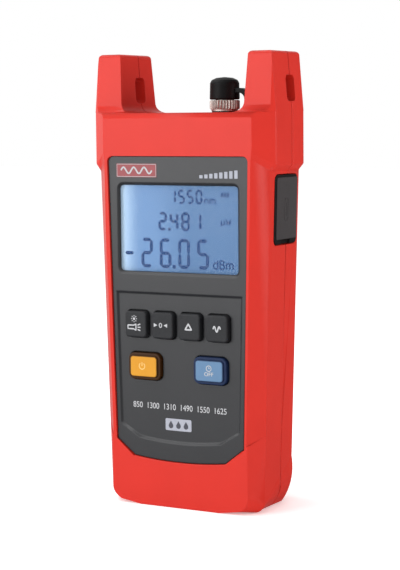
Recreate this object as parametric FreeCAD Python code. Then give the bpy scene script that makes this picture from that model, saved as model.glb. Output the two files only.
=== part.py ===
import FreeCAD, Part
import math
import os
from collections import namedtuple

# A handheld optical power meter, a fibre optic tester.
# Millimetres. +Z is up, +X is to the reader's right and the front faces -Y.
# The origin lies on the surface that it stands on, under the middle of the case.

V = FreeCAD.Vector

# Heights, from the foot to the tops of the horns
PANEL_BOTTOM_Z = 19.4
LOW_KEYS_RISE = 39.4
KEY_ROW_GAP = 17.6
DISPLAY_RISE = 22.2
DISPLAY_TALL = 35.6
PANEL_BROW = 12.0
HEAD_BROW = 17.8
HORN_TALL = 24.5
LOW_KEYS_Z = PANEL_BOTTOM_Z + LOW_KEYS_RISE
TOP_KEYS_Z = LOW_KEYS_Z + KEY_ROW_GAP
DISPLAY_Z = TOP_KEYS_Z + DISPLAY_RISE
PANEL_TOP_Z = DISPLAY_Z + DISPLAY_TALL + PANEL_BROW
DECK_Z = PANEL_TOP_Z + HEAD_BROW
CASE_TOP_Z = DECK_Z + HORN_TALL
STEP_DROP = 21.2
STEP_TALL = 2.6
STEP_TOP_Z = DECK_Z - STEP_DROP
STEP_LOW_Z = STEP_TOP_Z - STEP_TALL
STEP_RISE_AT_FRONT = 5.0

# Half widths, from the display out to the sides of the head
DISPLAY_HALF = 27.7
PANEL_MARGIN = 5.3
RIM = 1.9
FACET_WIDE = 7.8
STEP_IN = 2.3
RIM_STEP_IN = 0.4
HORN_LEAN = 2.0
PANEL_TAPER = 2.9
GRIP_TAPER = 3.8
RIM_FOOT = 1.2
PANEL_TOP_HALF = DISPLAY_HALF + PANEL_MARGIN
PANEL_LOW_HALF = PANEL_TOP_HALF - PANEL_TAPER
RIM_HALF = PANEL_TOP_HALF + RIM
HEAD_HALF = RIM_HALF + FACET_WIDE
GRIP_HALF = HEAD_HALF - STEP_IN
FOOT_HALF = GRIP_HALF - GRIP_TAPER
RIM_FOOT_HALF = PANEL_LOW_HALF + RIM_FOOT

# Foot: a flat land to stand on, a slight bow, then rounded corners
LAND_HALF = 18.0
BOW_RUN = 14.0
BOW_RISE = 0.4
FRONT_BOW_RISE = 1.5
FRONT_CORNER = 7.5
SIDE_CORNER = 5.0
REAR_CORNER = 20.0
REAR_LIFT = 3.5
FOOT_PROUD = 0.9

# Depths from the parting plane at y = 0
FRONT_DEPTH = 21.0
REAR_DEPTH = 22.0
FACET_DEEP = 6.5
REAR_FACET_DEEP = 11.5
REAR_FACET_WIDE = 9.0
FRONT_Y = -FRONT_DEPTH
FACET_Y = FRONT_Y + FACET_DEEP
REAR_FACET_Y = REAR_DEPTH - REAR_FACET_DEEP
WALL = 2.5
REAR_WALL = 4.0

# Horns with their strap slots
HORN_INNER_HALF = 29.0
HORN_DRAFT = 1.3
HORN_COVE = 4.5
HORN_FRONT_INSET = 5.2
HORN_REAR_INSET = 10.0
HORN_FACE_LEAN = 1.8
DECK_ROUND = 2.2
FRONT_COVE = 3.0
HORN_TOP_ROUND = 1.6
SLOT_WIDE = 7.6
SLOT_TALL = 10.7
SLOT_ABOVE_DECK = 4.2
SLOT_ROUND = 2.0

# Front panel, its pocket and its ledge
PANEL_SINK = 0.8
PANEL_THICK = 2.0
PANEL_CHAMFER_WIDE = 8.4
PANEL_CHAMFER_TALL = 6.5
PANEL_BOW = 1.4
PANEL_CORNER = 2.4
PANEL_FIT = 0.15
LEDGE_WIDE = 2.2
LEDGE_THICK = 1.8
PANEL_Y = FRONT_Y + PANEL_SINK
PANEL_BACK_Y = PANEL_Y + PANEL_THICK
LEDGE_BACK_Y = PANEL_BACK_Y + LEDGE_THICK

# Display window in its sloped frame, and what lies behind it
FRAME_SLOPE = 1.2
DISPLAY_ROUND = 1.6
WINDOW_LAP = 1.4
WINDOW_THICK = 1.0
WINDOW_FIT = 0.1
STACK_GAP = 0.3
LCD_LAP = 1.2
LCD_TALL_LAP = 3.0
LCD_THICK = 2.8
BOARD_THICK = 1.6
BOARD_STANDOFF = 5.2
BOARD_Y = PANEL_BACK_Y + BOARD_STANDOFF

# Key field, a shallow recess of the panel, and the keys in it
FIELD_SINK = 0.8
FIELD_SLOPE = 0.8
FIELD_TOP_DROP = 9.5
FIELD_MARGIN = 2.5
FIELD_LOW_RISE = 8.4
FIELD_CHAMFER_TALL = 5.2
KEYS_X = -0.5
KEY_PITCH = 12.8
KEY_WIDE = 10.2
KEY_TALL = 11.0
LOW_KEY_X = 15.6
LOW_KEY_WIDE = 13.2
LOW_KEY_TALL = 9.0
KEY_CORNER = 1.6
KEY_EDGE = 0.8
KEY_PROUD = 1.8
KEY_FIT = 0.35
KEY_FLANGE = 0.9
FLANGE_THICK = 1.0
KEY_STEM_R = 2.0
KEY_TRAVEL = 0.8
SKIRT_MARGIN = 1.1
SKIRT_DROP = 0.9
SKIRT_EDGE = 0.5
SWITCH_R = 2.6
SWITCH_TALL = 1.4
MAT_THICK = 0.8
MAT_MARGIN = 3.0
MAT_FOOT_R = 1.4
KEY_Y = PANEL_Y - KEY_PROUD
FLANGE_Y = PANEL_BACK_Y + STACK_GAP
MAT_Y = FLANGE_Y + FLANGE_THICK + KEY_TRAVEL + STACK_GAP
STEM_END_Y = BOARD_Y - SWITCH_TALL - KEY_TRAVEL - STACK_GAP

# Main board on posts behind the ledge
BOARD_LOW_RISE = 10.6
BOARD_TOP_DROP = 2.2
BOARD_ROUND = 2.0
POST_R = 1.9
POST_INSET = 2.0
POST_END = 6.0
BOARD_SCREW_R = 0.8
BOARD_SCREW_HEAD_R = 1.7
BOARD_SCREW_HEAD = 1.0
SCREW_FIT = 0.05
BOARD_SCREW_GRIP = 2.4

# Optical port on the deck
PORT_X = 11.6
PORT_BORE_R = 2.05
PORT_SHANK_R = 4.3
PORT_FLANGE_R = 5.6
PORT_FLANGE = 0.7
PORT_BARREL_R = 3.95
PORT_BARREL_TOP = 12.3
PORT_BARREL_LEAD = 0.4
KEYWAY_WIDE = 2.0
KEYWAY_DEEP = 3.0
PORT_SHANK_LONG = 8.0
PORT_FIT = 0.1
SEAL_THICK = 0.5
SEAL_R = 5.4
NUT_FLATS = 12.0
NUT_TALL = 2.5
RING_R = 6.25
RING_TALL = 3.8
KNURL_COUNT = 30
KNURL_R = 0.35
SLEEVE_R = 2.0
SLEEVE_BORE_R = 1.26
SLEEVE_TOP_DROP = 0.5
SLEEVE_LOW_RISE = 2.0
HOLDER_R = 5.5
HOLDER_TALL = 12.0
DIODE_R = 2.8
DIODE_TALL = 4.5
DIODE_CAN_R = 2.4
DIODE_RIM = 1.0
DIODE_WINDOW_R = 1.2
DIODE_WINDOW_DEEP = 0.3
RING_Z = DECK_Z + SEAL_THICK + PORT_FLANGE
CAP_GAP = 0.2
CAP_R = 6.25
CAP_SIDE = 6.8
CAP_CROWN = 2.5
CAP_FIT = 0.2
CAP_ROOF = 0.5
CAP_Z = RING_Z + RING_TALL + CAP_GAP

# Strap of the cap, from its side to a plug in the deck
STRAP_THICK = 2.0
STRAP_WIDE = 4.0
STRAP_RISE = 2.7
STRAP_REACH = 5.7
STRAP_BEND = 2.6
STRAP_GAP = 0.1
PLUG_R = 1.6
PLUG_DEEP = 1.8

# Torch lamp in the deck
TORCH_X = -4.0
TORCH_R = 2.5
TORCH_LONG = 7.0
TORCH_SINK = 0.3
TORCH_FIT = 0.1

# Rubber door on the right side, with the socket behind it
DOOR_Y = -1.0
DOOR_WIDE = 20.0
DOOR_TALL = 28.4
DOOR_TOP_GAP = 1.6
DOOR_ROUND = 2.4
DOOR_THICK = 2.6
DOOR_PROUD = 0.3
DOOR_FIT = 0.35
DOOR_BOSS_WALL = 2.4
NOTCH_WIDE = 8.0
NOTCH_TALL = 1.8
NOTCH_DEEP = 1.2
SOCKET_WIDE = 7.8
SOCKET_THICK = 4.0
SOCKET_LONG = 10.0
SOCKET_SHELL = 0.5
SOCKET_FIT = 0.3
SIDE_BOARD_WIDE = 19.0
SIDE_BOARD_TALL = 26.0
SIDE_BOARD_THICK = 1.2
SIDE_POST_R = 2.5
LINK_THICK = 2.5
LINK_TALL = 20.0

# Battery compartment at the back
CELL_R = 7.25
CELL_LONG = 50.5
CELL_GAP = 0.4
CELL_NUB_R = 2.7
CELL_NUB = 1.0
CELL_COVER_GAP = 1.1
TRAY_RISE = 19.5
TRAY_WALL = 1.6
TRAY_SIDE_GAP = 0.45
CELL_LOW = 2.6
CELL_HIGH = 6.9
LEAF_THICK = 0.4
LEAF_WIDE = 8.0
COVER_LAP = 3.0
COVER_TOP_LAP = 5.6
COVER_THICK = 2.0
COVER_ROUND = 3.0
COVER_FIT = 0.25
COVER_SEAL = 0.3
TONGUE_X = 10.0
TONGUE_WIDE = 8.0
TONGUE_LONG = 1.8
TONGUE_THICK = 1.0
COVER_SCREW_X = 15.0
COVER_SCREW_R = 1.2
COVER_SCREW_HEAD_R = 2.3
COVER_SCREW_HEAD = 1.0
COVER_SCREW_LONG = 6.0
COVER_POST_R = 3.0
GRIP_GROOVES = 5
GRIP_GROOVE_R = 0.8
GRIP_GROOVE_DEEP = 0.5
GRIP_GROOVE_LONG = 22.0
GRIP_GROOVE_RISE = 6.0
GRIP_GROOVE_PITCH = 3.0

# Screws that hold the halves together
CASE_SCREW_TOP_X = 28.0
CASE_SCREW_TOP_DROP = 12.0
CASE_SCREW_LOW_X = 21.5
CASE_SCREW_LOW_Z = 11.5
CASE_SCREW_R = 1.4
CASE_SCREW_HEAD_R = 2.75
CASE_SCREW_HEAD = 2.0
CASE_SCREW_SEAT_Y = 6.0
CASE_SCREW_GRIP = 10.0
CASE_BOSS_R = 4.3
COUNTERBORE_FIT = 0.3
SEAM_WIDE = 0.5
SEAM_DEEP = 0.6
CORD_INSET = 0.8
CORD_SQUARE = 1.0
CORD_FIT = 0.05

# Places closer than this count as one
SAME = 1e-6

Layer = namedtuple("Layer", "y land shoulder corner step_low step_high deck top")


def extruded(wire, run):
    """A solid made by pushing the face inside a flat closed wire along a vector."""
    return Part.Face(wire).extrude(run)


def polygon(points):
    """A closed wire through the points."""
    return Part.makePolygon(points + points[:1])


def rounded_rect(half_wide, half_tall, round_r, place):
    """A closed rounded rectangle; place turns (across, up) into a point of its plane."""
    w = half_wide - round_r
    t = half_tall - round_r
    slant = round_r * math.sqrt(0.5)
    edges = []
    for turn in range(4):
        sx = (1, -1, -1, 1)[turn]
        st = (1, 1, -1, -1)[turn]
        side = V(sx * half_wide, st * t, 0)
        cap = V(sx * w, st * half_tall, 0)
        first, last = (side, cap) if turn % 2 == 0 else (cap, side)
        middle = V(sx * (w + slant), st * (t + slant), 0)
        edges.append((first, middle, last))
    curve = []
    for turn, (first, middle, last) in enumerate(edges):
        following = edges[(turn + 1) % 4][0]
        curve.append(Part.Arc(place(first), place(middle), place(last)).toShape())
        curve.append(Part.LineSegment(place(last), place(following)).toShape())
    return Part.Wire(curve)


def front_rect(centre_x, centre_z, wide, tall, round_r, y):
    """A rounded rectangle that faces the front, at depth y."""
    def place(p):
        return V(centre_x + p.x, y, centre_z + p.y)
    return rounded_rect(wide / 2, tall / 2, round_r, place)


def side_rect(centre_y, centre_z, wide, tall, round_r, x):
    """A rounded rectangle that faces the right side, at x."""
    def place(p):
        return V(x, centre_y + p.x, centre_z + p.y)
    return rounded_rect(wide / 2, tall / 2, round_r, place)


def turned(profile, axis_x, axis_y=0.0):
    """A solid turned about a vertical axis from (radius, height) points."""
    points = [V(axis_x + r, axis_y, z) for r, z in profile]
    return Part.Face(polygon(points)).revolve(V(axis_x, axis_y, 0), V(0, 0, 1), 360)


def rod(x, z, radius, y_from, y_to):
    """A cylinder along Y."""
    return Part.makeCylinder(radius, y_to - y_from, V(x, y_from, z), V(0, 1, 0))


def block(x_from, x_to, y_from, y_to, z_from, z_to):
    """A box between two corners."""
    return Part.makeBox(x_to - x_from, y_to - y_from, z_to - z_from, V(x_from, y_from, z_from))


def both_sides(shape):
    """The shape and its mirror image in the middle plane of the case."""
    return shape.fuse(shape.mirror(V(0, 0, 0), V(1, 0, 0)))


def export(name, shape):
    """Write one node, cleaned of seams between faces that lie in one surface."""
    shape.removeSplitter().exportStep("parts/" + name + ".step")


# Outer form of the case: outlines at four depths with straight facets between them

def layer_wire(layer):
    """The closed outline of one layer, from the land up the right side and down the left."""
    def at(point, side):
        return V(side * point[0], layer.y, point[1])
    lean = math.sqrt(0.5)
    middle = (layer.shoulder[0] + lean * (layer.corner[0] - layer.shoulder[0]),
              layer.corner[1] - lean * (layer.corner[1] - layer.shoulder[1]))
    rising = [layer.corner, layer.step_low, layer.step_high, layer.deck, layer.top]
    edges = [Part.LineSegment(at(layer.land, -1), at(layer.land, 1)).toShape(),
             Part.LineSegment(at(layer.land, 1), at(layer.shoulder, 1)).toShape(),
             Part.Arc(at(layer.shoulder, 1), at(middle, 1), at(layer.corner, 1)).toShape()]
    for low, high in zip(rising, rising[1:]):
        edges.append(Part.LineSegment(at(low, 1), at(high, 1)).toShape())
    edges.append(Part.LineSegment(at(layer.top, 1), at(layer.top, -1)).toShape())
    for high, low in zip(rising[::-1], rising[-2::-1]):
        edges.append(Part.LineSegment(at(high, -1), at(low, -1)).toShape())
    edges.append(Part.Arc(at(layer.corner, -1), at(middle, -1), at(layer.shoulder, -1)).toShape())
    edges.append(Part.LineSegment(at(layer.shoulder, -1), at(layer.land, -1)).toShape())
    return Part.Wire(edges)


def foot_corner(y):
    """How high the foot's corners round: more towards the back."""
    return SIDE_CORNER + (REAR_CORNER - SIDE_CORNER) * (y - FACET_Y) / (REAR_FACET_Y - FACET_Y)


def side_layer(y, inset, top_z):
    """The outline of the straight sides, moved in by inset, up to top_z."""
    deck_z = min(DECK_Z, top_z - HORN_COVE)
    return Layer(y,
                 (LAND_HALF, max(inset, 0)),
                 (LAND_HALF + BOW_RUN, BOW_RISE + max(inset, 0)),
                 (FOOT_HALF - inset, BOW_RISE + foot_corner(y)),
                 (GRIP_HALF - inset, STEP_LOW_Z),
                 (HEAD_HALF - inset, STEP_TOP_Z),
                 (HEAD_HALF - inset, deck_z),
                 (HEAD_HALF - inset - HORN_LEAN, top_z))


def front_layer(y, inset, top_z):
    """The outline of the flat front, where the step between head and grip sits higher."""
    deck_z = min(DECK_Z, top_z - HORN_COVE)
    return Layer(y,
                 (LAND_HALF, inset),
                 (LAND_HALF + BOW_RUN - FACET_WIDE / 2, FRONT_BOW_RISE + inset),
                 (RIM_FOOT_HALF, FRONT_BOW_RISE + FRONT_CORNER),
                 (RIM_HALF - RIM_STEP_IN, STEP_LOW_Z + STEP_RISE_AT_FRONT),
                 (RIM_HALF, STEP_TOP_Z + STEP_RISE_AT_FRONT),
                 (RIM_HALF, deck_z),
                 (RIM_HALF - HORN_LEAN / 2, top_z))


def rear_layer(y, inset, top_z):
    """The outline of the flat back, inside the rear facets."""
    side = side_layer(y, REAR_FACET_WIDE + inset, top_z)
    return side._replace(land=(LAND_HALF - REAR_FACET_WIDE / 2, REAR_LIFT + inset),
                         shoulder=(LAND_HALF + BOW_RUN - REAR_FACET_WIDE, REAR_LIFT + BOW_RISE + inset),
                         corner=(side.corner[0], REAR_LIFT + BOW_RISE + REAR_CORNER))


def layered(layers):
    """One solid with straight facets between the layers."""
    return Part.makeLoft([layer_wire(layer) for layer in layers], True, True)


def case_form(proud=0.0):
    """The faceted outer form, before the horns are cut; proud widens the foot of its rim."""
    front = front_layer(FRONT_Y, 0, CASE_TOP_Z)
    front = front._replace(corner=(front.corner[0] + proud, front.corner[1]))
    return layered([front,
                    side_layer(FACET_Y, 0, CASE_TOP_Z),
                    side_layer(REAR_FACET_Y, 0, CASE_TOP_Z),
                    rear_layer(REAR_DEPTH, 0, CASE_TOP_Z)])


def valley_cut(grow=0.0):
    """What is cut away between the horns: drafted walls with a cove down to the deck."""
    top_z = CASE_TOP_Z + WALL
    wall_half = HORN_INNER_HALF + grow
    top_half = wall_half + HORN_DRAFT
    deck_z = DECK_Z - grow
    cove_mid = HORN_COVE * (1 - math.sqrt(0.5))
    y = FRONT_Y - WALL

    def at(x, z):
        return V(x, y, z)
    floor_half = wall_half - HORN_COVE
    cove_z = deck_z + HORN_COVE
    edges = [Part.LineSegment(at(-floor_half, deck_z), at(floor_half, deck_z)).toShape(),
             Part.Arc(at(floor_half, deck_z),
                      at(wall_half - cove_mid, deck_z + cove_mid),
                      at(wall_half, cove_z)).toShape(),
             Part.LineSegment(at(wall_half, cove_z), at(top_half, top_z)).toShape(),
             Part.LineSegment(at(top_half, top_z), at(-top_half, top_z)).toShape(),
             Part.LineSegment(at(-top_half, top_z), at(-wall_half, cove_z)).toShape(),
             Part.Arc(at(-wall_half, cove_z),
                      at(-wall_half + cove_mid, deck_z + cove_mid),
                      at(-floor_half, deck_z)).toShape()]
    return extruded(Part.Wire(edges), V(0, FRONT_DEPTH + REAR_DEPTH + 2 * WALL, 0))


def horn_face_cut(face_y, inset, facing):
    """What is cut away before a horn face: deck edge round, cove, then a leaning face."""
    x = -HEAD_HALF - WALL
    top_z = CASE_TOP_Z + WALL
    bend = 1 - math.sqrt(0.5)

    def at(depth, z):
        return V(x, face_y + facing * depth, z)
    round_end = DECK_ROUND
    cove_start = inset - FRONT_COVE
    edges = [Part.LineSegment(at(-WALL, DECK_Z - DECK_ROUND), at(0, DECK_Z - DECK_ROUND)).toShape(),
             Part.Arc(at(0, DECK_Z - DECK_ROUND),
                      at(DECK_ROUND * bend, DECK_Z - DECK_ROUND * bend),
                      at(round_end, DECK_Z)).toShape()]
    if cove_start - round_end > SAME:
        edges.append(Part.LineSegment(at(round_end, DECK_Z), at(cove_start, DECK_Z)).toShape())
    start = max(cove_start, round_end)
    edges += [Part.Arc(at(start, DECK_Z),
                       at(start + FRONT_COVE * (1 - bend), DECK_Z + FRONT_COVE * bend),
                       at(start + FRONT_COVE, DECK_Z + FRONT_COVE)).toShape(),
              Part.LineSegment(at(start + FRONT_COVE, DECK_Z + FRONT_COVE),
                               at(start + FRONT_COVE + HORN_FACE_LEAN, top_z)).toShape(),
              Part.LineSegment(at(start + FRONT_COVE + HORN_FACE_LEAN, top_z), at(-WALL, top_z)).toShape(),
              Part.LineSegment(at(-WALL, top_z), at(-WALL, DECK_Z - DECK_ROUND)).toShape()]
    return extruded(Part.Wire(edges), V(2 * (HEAD_HALF + WALL), 0, 0))


def strap_slot(grow=0.0):
    """The right strap slot, right through the horn."""
    wire = side_rect(0, DECK_Z + SLOT_ABOVE_DECK + SLOT_TALL / 2, SLOT_WIDE + 2 * grow, SLOT_TALL + 2 * grow,
                     SLOT_ROUND + grow, HORN_INNER_HALF - WALL)
    return extruded(wire, V(HEAD_HALF - HORN_INNER_HALF + 2 * WALL, 0, 0))


def round_horn_tops(shape):
    """Round the edges that bound the flat tops of the horns."""
    tops = [edge for edge in shape.Edges
            if all(abs(vertex.Z - CASE_TOP_Z) < SAME for vertex in edge.Vertexes)]
    return shape.makeFillet(HORN_TOP_ROUND, tops)


def foot_bumper():
    """The foot stands a little proud of the grip, below a line that carries on the panel's lower corners."""
    slope = PANEL_CHAMFER_TALL / PANEL_CHAMFER_WIDE
    low_z = PANEL_BOTTOM_Z + PANEL_BOW
    side = HEAD_HALF + WALL
    inner = PANEL_LOW_HALF - PANEL_CHAMFER_WIDE
    side_z = low_z + slope * (side - inner)
    outline = [V(-side, FRONT_Y, 0), V(side, FRONT_Y, 0), V(side, FRONT_Y, side_z), V(inner, FRONT_Y, low_z),
               V(-inner, FRONT_Y, low_z), V(-side, FRONT_Y, side_z)]
    below = extruded(polygon(outline), V(0, FRONT_DEPTH + REAR_DEPTH, 0))
    return case_form(FOOT_PROUD).common(below)


def outer_case():
    """The whole case as one solid outside, with horns, deck, slots and foot."""
    form = case_form()
    form = form.cut([valley_cut(),
                     horn_face_cut(FRONT_Y, HORN_FRONT_INSET, 1),
                     horn_face_cut(REAR_DEPTH, HORN_REAR_INSET, -1)])
    form = round_horn_tops(form.removeSplitter())
    return form.fuse(foot_bumper()).cut(both_sides(strap_slot()))


def cavity():
    """The hollow inside the case, from the back of the panel's ledge to the rear wall."""
    top_z = DECK_Z - WALL
    return layered([front_layer(LEDGE_BACK_Y, WALL, top_z),
                    side_layer(FACET_Y + WALL, WALL, top_z),
                    side_layer(REAR_FACET_Y - WALL, WALL, top_z),
                    rear_layer(REAR_DEPTH - REAR_WALL, WALL / 2, top_z)])


def panel_outline(grow, y):
    """The panel's outline: tapering sides, chamfered lower corners and a bowed lower edge."""
    top = PANEL_TOP_Z + grow
    low_half = PANEL_LOW_HALF + grow
    foot_half = PANEL_LOW_HALF - PANEL_CHAMFER_WIDE + grow / 2
    foot_z = PANEL_BOTTOM_Z + PANEL_BOW - grow
    low_z = PANEL_BOTTOM_Z + PANEL_BOW + PANEL_CHAMFER_TALL - grow / 2
    r = PANEL_CORNER
    half = PANEL_TOP_HALF + grow
    bend = r * (1 - math.sqrt(0.5))

    def at(x, z):
        return V(x, y, z)
    edges = [Part.Arc(at(-foot_half, foot_z), at(0, PANEL_BOTTOM_Z - grow), at(foot_half, foot_z)).toShape(),
             Part.LineSegment(at(foot_half, foot_z), at(low_half, low_z)).toShape(),
             Part.LineSegment(at(low_half, low_z), at(half, top - r)).toShape(),
             Part.Arc(at(half, top - r), at(half - bend, top - bend), at(half - r, top)).toShape(),
             Part.LineSegment(at(half - r, top), at(r - half, top)).toShape(),
             Part.Arc(at(r - half, top), at(bend - half, top - bend), at(-half, top - r)).toShape(),
             Part.LineSegment(at(-half, top - r), at(-low_half, low_z)).toShape(),
             Part.LineSegment(at(-low_half, low_z), at(-foot_half, foot_z)).toShape()]
    return Part.Wire(edges)


def panel_pocket():
    """The pocket for the panel and the window through the ledge that carries it."""
    pocket = extruded(panel_outline(PANEL_FIT, FRONT_Y - WALL), V(0, PANEL_BACK_Y - FRONT_Y + WALL, 0))
    window = extruded(panel_outline(-LEDGE_WIDE, PANEL_BACK_Y), V(0, LEDGE_THICK, 0))
    return pocket.fuse(window)


def panel_half_at(z):
    """Half width of the panel at a height on its tapering side."""
    low_z = PANEL_BOTTOM_Z + PANEL_BOW + PANEL_CHAMFER_TALL
    share = (z - low_z) / (PANEL_TOP_Z - low_z)
    return PANEL_LOW_HALF + share * PANEL_TAPER


def field_outline(grow, y):
    """The key field's outline: it follows the panel's sides and lower edge at a distance."""
    top_z = DISPLAY_Z - FIELD_TOP_DROP + grow
    foot_z = PANEL_BOTTOM_Z + FIELD_LOW_RISE + PANEL_BOW - grow
    low_z = foot_z + FIELD_CHAMFER_TALL + grow / 2
    foot_half = PANEL_LOW_HALF - PANEL_CHAMFER_WIDE - FIELD_MARGIN + grow / 2

    def at(x, z):
        return V(x, y, z)
    top_half = panel_half_at(top_z) - FIELD_MARGIN + grow
    low_half = panel_half_at(low_z) - FIELD_MARGIN + grow
    corners = [at(foot_half, foot_z), at(low_half, low_z), at(top_half, top_z),
               at(-top_half, top_z), at(-low_half, low_z), at(-foot_half, foot_z)]
    bow = Part.Arc(corners[-1], at(0, foot_z - PANEL_BOW), corners[0]).toShape()
    sides = [Part.LineSegment(a, b).toShape() for a, b in zip(corners, corners[1:])]
    return Part.Wire([bow] + sides)


def sloped(front_wire, back_wire):
    """A cut with sloping walls between two like outlines."""
    return Part.makeLoft([front_wire, back_wire], True, True)


# Keys: (node name, x, z, width, height, skirt); the row of four above, two wider skirted ones below
ROW_KEYS = [("key_light", -1.5), ("key_zero", -0.5), ("key_relative", 0.5), ("key_wavelength", 1.5)]
KEYS = [(name, KEYS_X + share * KEY_PITCH, TOP_KEYS_Z, KEY_WIDE, KEY_TALL, 0.0) for name, share in ROW_KEYS]
KEYS += [("key_power", KEYS_X - LOW_KEY_X, LOW_KEYS_Z, LOW_KEY_WIDE, LOW_KEY_TALL, SKIRT_MARGIN),
         ("key_timer", KEYS_X + LOW_KEY_X, LOW_KEYS_Z, LOW_KEY_WIDE, LOW_KEY_TALL, SKIRT_MARGIN)]


def key_block(x, z, wide, tall, grow, y, edge):
    """A block from the face at y back to the flange, with its face edge rounded."""
    block = extruded(front_rect(x, z, wide + 2 * grow, tall + 2 * grow, KEY_CORNER + grow, y),
                     V(0, FLANGE_Y - y, 0))
    face_edges = [line for line in block.Edges
                  if all(abs(vertex.Y - y) < SAME for vertex in line.Vertexes)]
    return block.makeFillet(edge, face_edges)


def key(x, z, wide, tall, skirt):
    """One key: a cap with a rounded face, a skirt where it has one, a flange and a stem to its switch."""
    cap = key_block(x, z, wide, tall, 0, KEY_Y, KEY_EDGE)
    reach = skirt + KEY_FLANGE
    flange = extruded(front_rect(x, z, wide + 2 * reach, tall + 2 * reach, KEY_CORNER + reach, FLANGE_Y),
                      V(0, FLANGE_THICK, 0))
    stem = rod(x, z, KEY_STEM_R, FLANGE_Y + FLANGE_THICK, STEM_END_Y)
    if not skirt:
        return cap.fuse([flange, stem])
    lower = key_block(x, z, wide, tall, skirt, KEY_Y + SKIRT_DROP, SKIRT_EDGE)
    return cap.fuse([lower, flange, stem]).removeSplitter()


def display_rect(grow, y):
    """A rectangle round the display's visible area, grown all round."""
    return front_rect(0, DISPLAY_Z + DISPLAY_TALL / 2, 2 * (DISPLAY_HALF + grow),
                      DISPLAY_TALL + 2 * grow, DISPLAY_ROUND + max(grow, 0), y)


LCD_Y = PANEL_BACK_Y + STACK_GAP


def lcd_sheet(inset, y, thick):
    """One sheet of the stack behind the window."""
    wide = 2 * (DISPLAY_HALF + LCD_LAP - inset)
    tall = DISPLAY_TALL + 2 * (LCD_TALL_LAP - inset)
    wire = front_rect(0, DISPLAY_Z + DISPLAY_TALL / 2, wide, tall, LCD_LAP, y)
    return extruded(wire, V(0, thick, 0))


def front_panel():
    """The dark bezel: sloped display frame, sunk key field and key holes."""
    plate = extruded(panel_outline(0, PANEL_Y), V(0, PANEL_THICK, 0))
    window_y = PANEL_BACK_Y - WINDOW_THICK
    field_y = PANEL_Y + FIELD_SINK
    cuts = [sloped(display_rect(FRAME_SLOPE, PANEL_Y), display_rect(0, window_y)),
            extruded(display_rect(WINDOW_LAP + WINDOW_FIT, window_y), V(0, WINDOW_THICK, 0)),
            sloped(field_outline(FIELD_SLOPE, PANEL_Y), field_outline(0, field_y))]
    for _, x, z, wide, tall, skirt in KEYS:
        grow = skirt + KEY_FIT
        hole = front_rect(x, z, wide + 2 * grow, tall + 2 * grow, KEY_CORNER + grow, PANEL_Y)
        cuts.append(extruded(hole, V(0, PANEL_THICK, 0)))
    return plate.cut(cuts)


def keypad_mat():
    """The rubber mat behind the keys, on feet on the board, with a hole for each stem."""
    half = 2 * KEY_PITCH + MAT_MARGIN
    low = LOW_KEYS_Z - LOW_KEY_TALL / 2 - MAT_MARGIN
    high = TOP_KEYS_Z + KEY_TALL / 2 + MAT_MARGIN
    sheet = extruded(front_rect(0, (low + high) / 2, 2 * half, high - low, MAT_MARGIN, MAT_Y),
                     V(0, MAT_THICK, 0))
    holes = [rod(x, z, KEY_STEM_R + KEY_FIT, MAT_Y, MAT_Y + MAT_THICK) for _, x, z, *_ in KEYS]
    feet = [rod(side * (half - MAT_MARGIN), z, MAT_FOOT_R, MAT_Y + MAT_THICK, BOARD_Y)
            for side in (-1, 1) for z in (low + MAT_MARGIN, high - MAT_MARGIN)]
    return sheet.cut(holes).fuse(feet)


def switch_domes():
    """Six low switches on the board, one behind each stem."""
    base = SWITCH_TALL / 2
    domes = []
    for _, x, z, *_ in KEYS:
        foot = rod(x, z, SWITCH_R, BOARD_Y - base, BOARD_Y)
        button = rod(x, z, SWITCH_R - base, BOARD_Y - SWITCH_TALL, BOARD_Y - base)
        domes.append(foot.fuse(button).removeSplitter())
    return Part.makeCompound(domes)


BOARD_LOW_Z = PANEL_BOTTOM_Z + BOARD_LOW_RISE
BOARD_TOP_Z = PANEL_TOP_Z - BOARD_TOP_DROP
BOARD_HALF = PANEL_TOP_HALF
POSTS = [(side * (BOARD_HALF - POST_INSET), z)
         for side in (-1, 1) for z in (BOARD_LOW_Z + POST_END, BOARD_TOP_Z - POST_END)]


def main_board():
    """The main board, with holes over its posts."""
    mid_z = (BOARD_LOW_Z + BOARD_TOP_Z) / 2
    sheet = extruded(front_rect(0, mid_z, 2 * BOARD_HALF, BOARD_TOP_Z - BOARD_LOW_Z, BOARD_ROUND, BOARD_Y),
                     V(0, BOARD_THICK, 0))
    holes = [rod(x, z, BOARD_SCREW_R + SCREW_FIT, BOARD_Y, BOARD_Y + BOARD_THICK) for x, z in POSTS]
    return sheet.cut(holes)


def screw(x, z, radius, head_r, head, seat_y, tip_y):
    """A screw that comes in from the back: pan head, shank and a short point."""
    point = radius / 2
    profile = [V(0, tip_y, 0), V(radius / 2, tip_y, 0), V(radius, tip_y + point, 0), V(radius, seat_y, 0),
               V(head_r, seat_y, 0), V(head_r, seat_y + head * 0.6, 0), V(head_r * 0.7, seat_y + head, 0),
               V(0, seat_y + head, 0)]
    body = Part.Face(polygon(profile)).revolve(V(0, 0, 0), V(0, 1, 0), 360)
    recess = Part.makeBox(head_r, head * 0.5, radius / 2, V(-head_r / 2, seat_y + head * 0.6, -radius / 4))
    cross = recess.fuse(recess.copy().rotate(V(0, 0, 0), V(0, 1, 0), 90))
    body = body.cut(cross)
    body.translate(V(x, 0, z))
    return body


def board_screws():
    """The four small screws that hold the main board to its posts."""
    seat = BOARD_Y + BOARD_THICK
    return Part.makeCompound([screw(x, z, BOARD_SCREW_R, BOARD_SCREW_HEAD_R, BOARD_SCREW_HEAD, seat,
                                    BOARD_Y - BOARD_SCREW_GRIP) for x, z in POSTS])


# Optical port and its cap

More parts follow.
